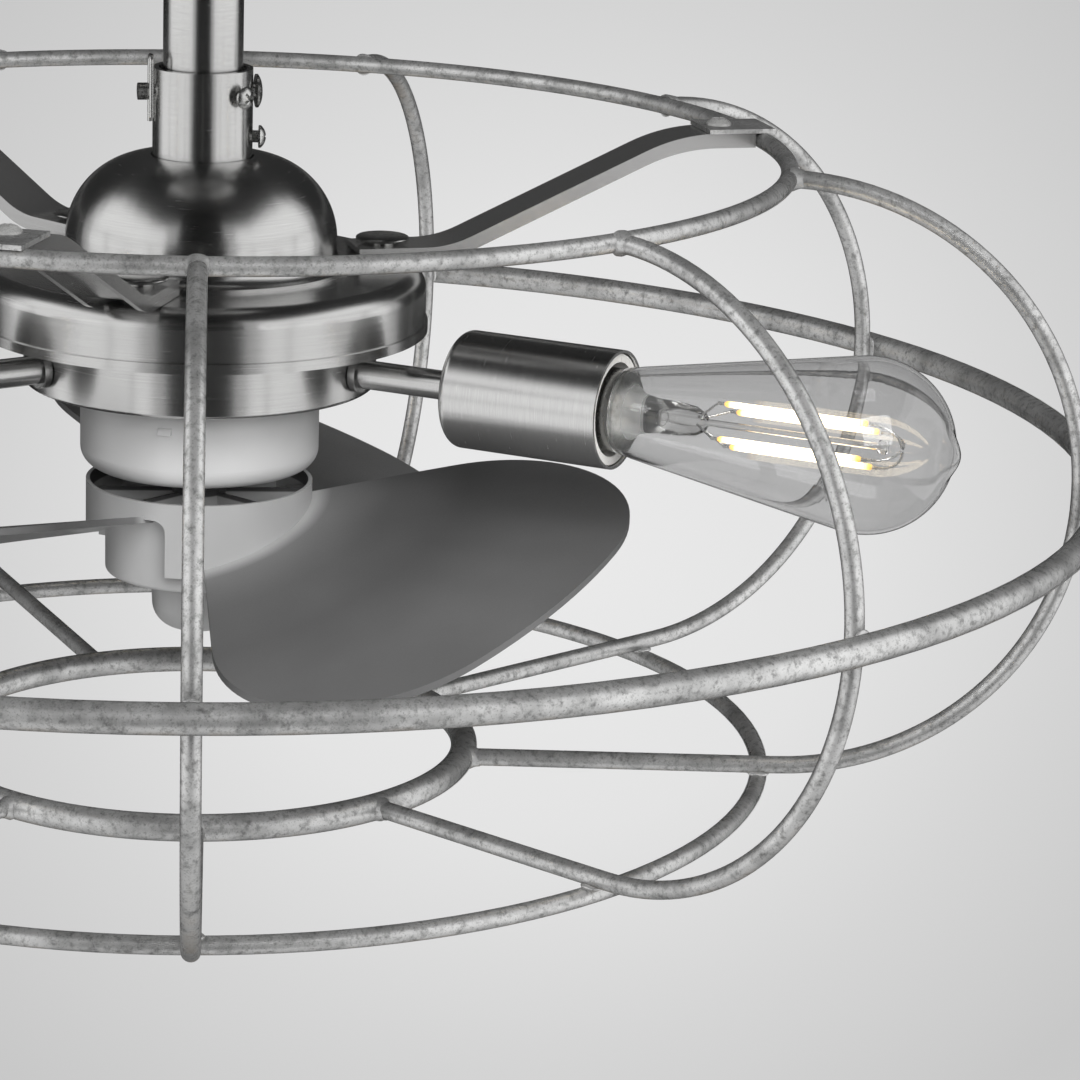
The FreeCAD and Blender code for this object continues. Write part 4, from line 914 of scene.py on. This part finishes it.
def lit_strips():
    """Four coated strips round the post."""
    strip = bmesh.new()
    turn_outline(strip, STRIP_OUTLINE, steps=14)
    bmesh.ops.translate(strip, verts=strip.verts, vec=(STRIP_INSIDE * MM, 0, STRIP_CIRCLE * MM))
    shape = bmesh.new()
    add_copies(shape, as_mesh("strip", strip), strip_turns())
    return as_mesh("lit_strips", shape)


class FAN_OT_make_bulb_insides(Operator):
    """Glass stems, wires and lit filament strips inside the three bulbs"""
    bl_idname = "fan.make_bulb_insides"
    bl_label = "Bulb Insides"

    def execute(self, context):
        spots = [at_azimuth(a, LIGHT_HEIGHT) for a in LIGHT_AZIMUTHS]
        for name, mesh, material, slot in (
            ("bulb_stems", bulb_stem(), stem_finish(), "bulb_glass"),
            ("bulb_wires", bulb_wires(), bpy.data.materials["plain_steel"], "base_nickel"),
            ("lit_strips", lit_strips(), filament_finish(context.scene.fan_bulb), "filament"),
        ):
            shape = bmesh.new()
            add_copies(shape, mesh, spots)
            add_piece(name, shape, material, "fan_body")
        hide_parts("bulb_mounts")
        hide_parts("bulb_filaments")
        return {"FINISHED"}


# Studio, in metres

CAMERA_PLACE = Vector((0, -1.3129, 0.0004))
CAMERA_YAW, CAMERA_PITCH, CAMERA_ROLL = (math.radians(a) for a in (5.026, 15.432, -1.871))
CAMERA_LENS = 134.2
FLOOR_RADIUS = 40
FLOOR_DROP = 1.5
FLOOR_NEAREST = 0.5
FLOOR_FADE = 0.2
FLOOR_GLOW = 0.92
WORLD_LIGHT = 0.3
SOFTBOX_PLACE, SOFTBOX_SIZE = (1.3, -0.9, -0.1), (2.6, 2.5)
TOP_PLACE, TOP_SIZE = (0.0, -0.4, 1.9), (0.8, 0.8)
FILL_PLACE, FILL_SIZE = (0.35, -1.8, 0.8), (1.4, 1.4)
CARD_LOW, CARD_HIGH = -1.49, 2.4
CARD_REACH = 3


def make_camera():
    """Camera at the photograph's viewing angle."""
    forward = Vector((math.sin(CAMERA_YAW) * math.cos(CAMERA_PITCH),
                      math.cos(CAMERA_YAW) * math.cos(CAMERA_PITCH), -math.sin(CAMERA_PITCH)))
    level_right = Vector((math.cos(CAMERA_YAW), -math.sin(CAMERA_YAW), 0))
    level_down = forward.cross(level_right)
    right = math.cos(CAMERA_ROLL) * level_right + math.sin(CAMERA_ROLL) * level_down
    down = forward.cross(right)
    data = bpy.data.cameras.new("photo_camera")
    data.lens = CAMERA_LENS
    data.sensor_width = 36
    data.clip_start = 0.01
    camera = new_object("photo_camera", data)
    turn = Matrix((right, -down, -forward)).transposed().to_4x4()
    camera.matrix_world = Matrix.Translation(CAMERA_PLACE) @ turn
    bpy.context.scene.camera = camera


def seen_directly(tree):
    """1 for rays that show the backdrop: to the camera, in a reflection or through glass."""
    rays = add(tree, "ShaderNodeLightPath").outputs
    shown = sums(tree, "MAXIMUM", rays["Is Camera Ray"], rays["Is Glossy Ray"])
    return sums(tree, "MAXIMUM", shown, rays["Is Transmission Ray"])


def mix_shaders(tree, factor, a, b):
    """Mixes the shaders of two nodes."""
    inputs = {0: factor, 1: a.outputs[0], 2: b.outputs[0]}
    return add(tree, "ShaderNodeMixShader", inputs)


def make_floor(settings):
    """Wide pale floor with a painted pool of light, brightest in the middle of the view."""
    shape = bmesh.new()
    bmesh.ops.create_circle(shape, cap_ends=True, radius=FLOOR_RADIUS, segments=64)
    bmesh.ops.translate(shape, verts=shape.verts, vec=(0, 0, -FLOOR_DROP))
    floor = new_object("studio_floor", as_mesh("studio_floor", shape))
    made, tree, shader = new_material("studio_floor_pale", Roughness=1.0)
    parts = split(tree, add(tree, "ShaderNodeTexCoord").outputs["Object"])
    depth = sums(tree, "MAXIMUM", sums(tree, "SUBTRACT", parts["Y"], CAMERA_PLACE.y), FLOOR_NEAREST)
    # Slopes across and down to a point of the floor, from the middle of the view
    across = sums(tree, "SUBTRACT", sums(tree, "DIVIDE", parts["X"], depth), math.tan(CAMERA_YAW))
    down = sums(tree, "SUBTRACT", sums(tree, "DIVIDE", FLOOR_DROP, depth),
                math.tan(CAMERA_PITCH) / math.cos(CAMERA_YAW))
    away = size_of(tree, join(tree, X=across, Y=down))
    # Painted light: the floor's tone, which also glows to the camera, is brightest in the middle of
    # the view and fades to the edge tone.
    center, edge = Vector(settings.center), Vector(settings.edge)
    stops = [(at, tuple(center.lerp(edge, part)))
             for at, part in ((0.0, 0.0), (0.4, 0.22), (0.7, 0.65), (1.0, 1.0))]
    tone = ramp(tree, spread(tree, away, (0.0, FLOOR_FADE)), stops)
    link(tree, shader, Base_Color=tone)
    glow = add(tree, "ShaderNodeEmission", {"Color": tone, "Strength": 1.0})
    pale = mix_shaders(tree, sums(tree, "MULTIPLY", seen_directly(tree), FLOOR_GLOW), shader, glow)
    # Clear from below, so that the fan can be looked at from there
    below = add(tree, "ShaderNodeNewGeometry").outputs["Backfacing"]
    one_sided = mix_shaders(tree, below, pale, add(tree, "ShaderNodeBsdfTransparent"))
    tree.links.new(one_sided.outputs[0], tree.nodes["Material Output"].inputs["Surface"])
    floor.data.materials.append(made)


def make_world(settings):
    """Even surroundings that show at full strength and give less light."""
    world = bpy.data.worlds.new("studio_world")
    world.use_nodes = True
    tree = world.node_tree
    tone = (*settings.edge, 1)
    pale = tree.nodes["Background"]
    pale.inputs["Color"].default_value = tone
    pale.inputs["Strength"].default_value = 1.0
    dim = add(tree, "ShaderNodeBackground", {"Color": tone, "Strength": WORLD_LIGHT})
    mix = mix_shaders(tree, seen_directly(tree), dim, pale)
    tree.links.new(mix.outputs[0], tree.nodes["World Output"].inputs["Surface"])
    bpy.context.scene.world = world


def make_lamp(name, place_at, aim, size, energy, mirrored=True):
    """Soft lamp that the camera never shows, and metal only where it is mirrored."""
    data = bpy.data.lights.new(name, "AREA")
    data.shape = "RECTANGLE"
    data.size, data.size_y = size
    data.energy = energy
    lamp = new_object(name, data)
    lamp.location = place_at
    lamp.rotation_euler = (Vector(aim) - Vector(place_at)).to_track_quat("-Z", "Y").to_euler()
    lamp.visible_camera = False
    lamp.visible_glossy = mirrored


def make_flag(name, corners, tone):
    """Dark card that only reflections show."""
    shape = bmesh.new()
    shape.faces.new([shape.verts.new(c) for c in corners])
    card = new_object(name, as_mesh(name, shape))
    black = new_material(name + "_black", Roughness=1.0, Base_Color=(tone, tone, tone, 1))[0]
    card.data.materials.append(black)
    card.visible_camera = False
    card.visible_diffuse = False
    card.visible_shadow = False
    card.visible_transmission = False


def wall_corners(reach, depth):
    """Corners of an upright card across the view."""
    return [(-reach, depth, CARD_LOW), (reach, depth, CARD_LOW),
            (reach, depth, CARD_HIGH), (-reach, depth, CARD_HIGH)]


def ceiling_corners(reach):
    """Corners of a level card overhead."""
    return [(-reach, -reach, CARD_HIGH), (reach, -reach, CARD_HIGH),
            (reach, reach, CARD_HIGH), (-reach, reach, CARD_HIGH)]


class FAN_OT_make_stage(Operator):
    """Camera, pale floor, soft lamps and the cards that shade the metal's reflections"""
    bl_idname = "fan.make_stage"
    bl_label = "Studio"

    def execute(self, context):
        scene = context.scene
        settings = scene.fan_studio
        scene.view_settings.view_transform = "Standard"
        make_camera()
        make_floor(settings)
        make_world(settings)
        target = (0, 0, CAGE_HEIGHT)
        reach, depth, height = SOFTBOX_PLACE
        for side, name in ((-1, "left_softbox"), (1, "right_softbox")):
            make_lamp(name, (side * reach, depth, height), (0, depth, height), SOFTBOX_SIZE,
                      settings.side_lamp)
        make_lamp("top_softbox", TOP_PLACE, target, TOP_SIZE, settings.top_lamp, mirrored=False)
        make_lamp("front_fill", FILL_PLACE, target, FILL_SIZE, settings.fill_lamp, mirrored=False)
        make_flag("front_flag", wall_corners(reach=0.62, depth=-1.6), tone=0.008)
        make_flag("rear_flag", wall_corners(reach=CARD_REACH, depth=1.6), tone=0.03)
        make_flag("ceiling_flag", ceiling_corners(reach=CARD_REACH), tone=0.03)
        return {"FINISHED"}


class FAN_PT_panel(Panel):
    """Lists the steps that dress the fan"""
    bl_idname = "FAN_PT_panel"
    bl_label = "Caged Ceiling Fan"
    bl_space_type = "VIEW_3D"
    bl_region_type = "UI"
    bl_category = "Fan"

    def draw(self, context):
        for step in STEPS:
            self.layout.operator(step.bl_idname)


SETTINGS = {
    "fan_nickel": NickelSettings,
    "fan_zinc": ZincSettings,
    "fan_impeller": ImpellerSettings,
    "fan_bulb": BulbSettings,
    "fan_studio": StudioSettings,
}
STEPS = (
    FAN_OT_make_stage,
    FAN_OT_prepare_finishes,
    FAN_OT_finish_hanger,
    FAN_OT_finish_housings,
    FAN_OT_finish_motor,
    FAN_OT_finish_impeller,
    FAN_OT_finish_cage,
    FAN_OT_finish_lights,
    FAN_OT_make_pan_bolts,
    FAN_OT_make_welds,
    FAN_OT_make_lance,
    FAN_OT_make_bulbs,
    FAN_OT_make_bulb_insides,
)


def register():
    for group in SETTINGS.values():
        bpy.utils.register_class(group)
    for name, group in SETTINGS.items():
        setattr(bpy.types.Scene, name, PointerProperty(type=group))
    for step in STEPS:
        bpy.utils.register_class(step)
    bpy.utils.register_class(FAN_PT_panel)


def unregister():
    bpy.utils.unregister_class(FAN_PT_panel)
    for step in reversed(STEPS):
        bpy.utils.unregister_class(step)
    for name, group in SETTINGS.items():
        delattr(bpy.types.Scene, name)
        bpy.utils.unregister_class(group)


def main():
    register()
    for step in STEPS:
        area, name = step.bl_idname.split(".")
        getattr(getattr(bpy.ops, area), name)()


if __name__ == "__main__":
    main()
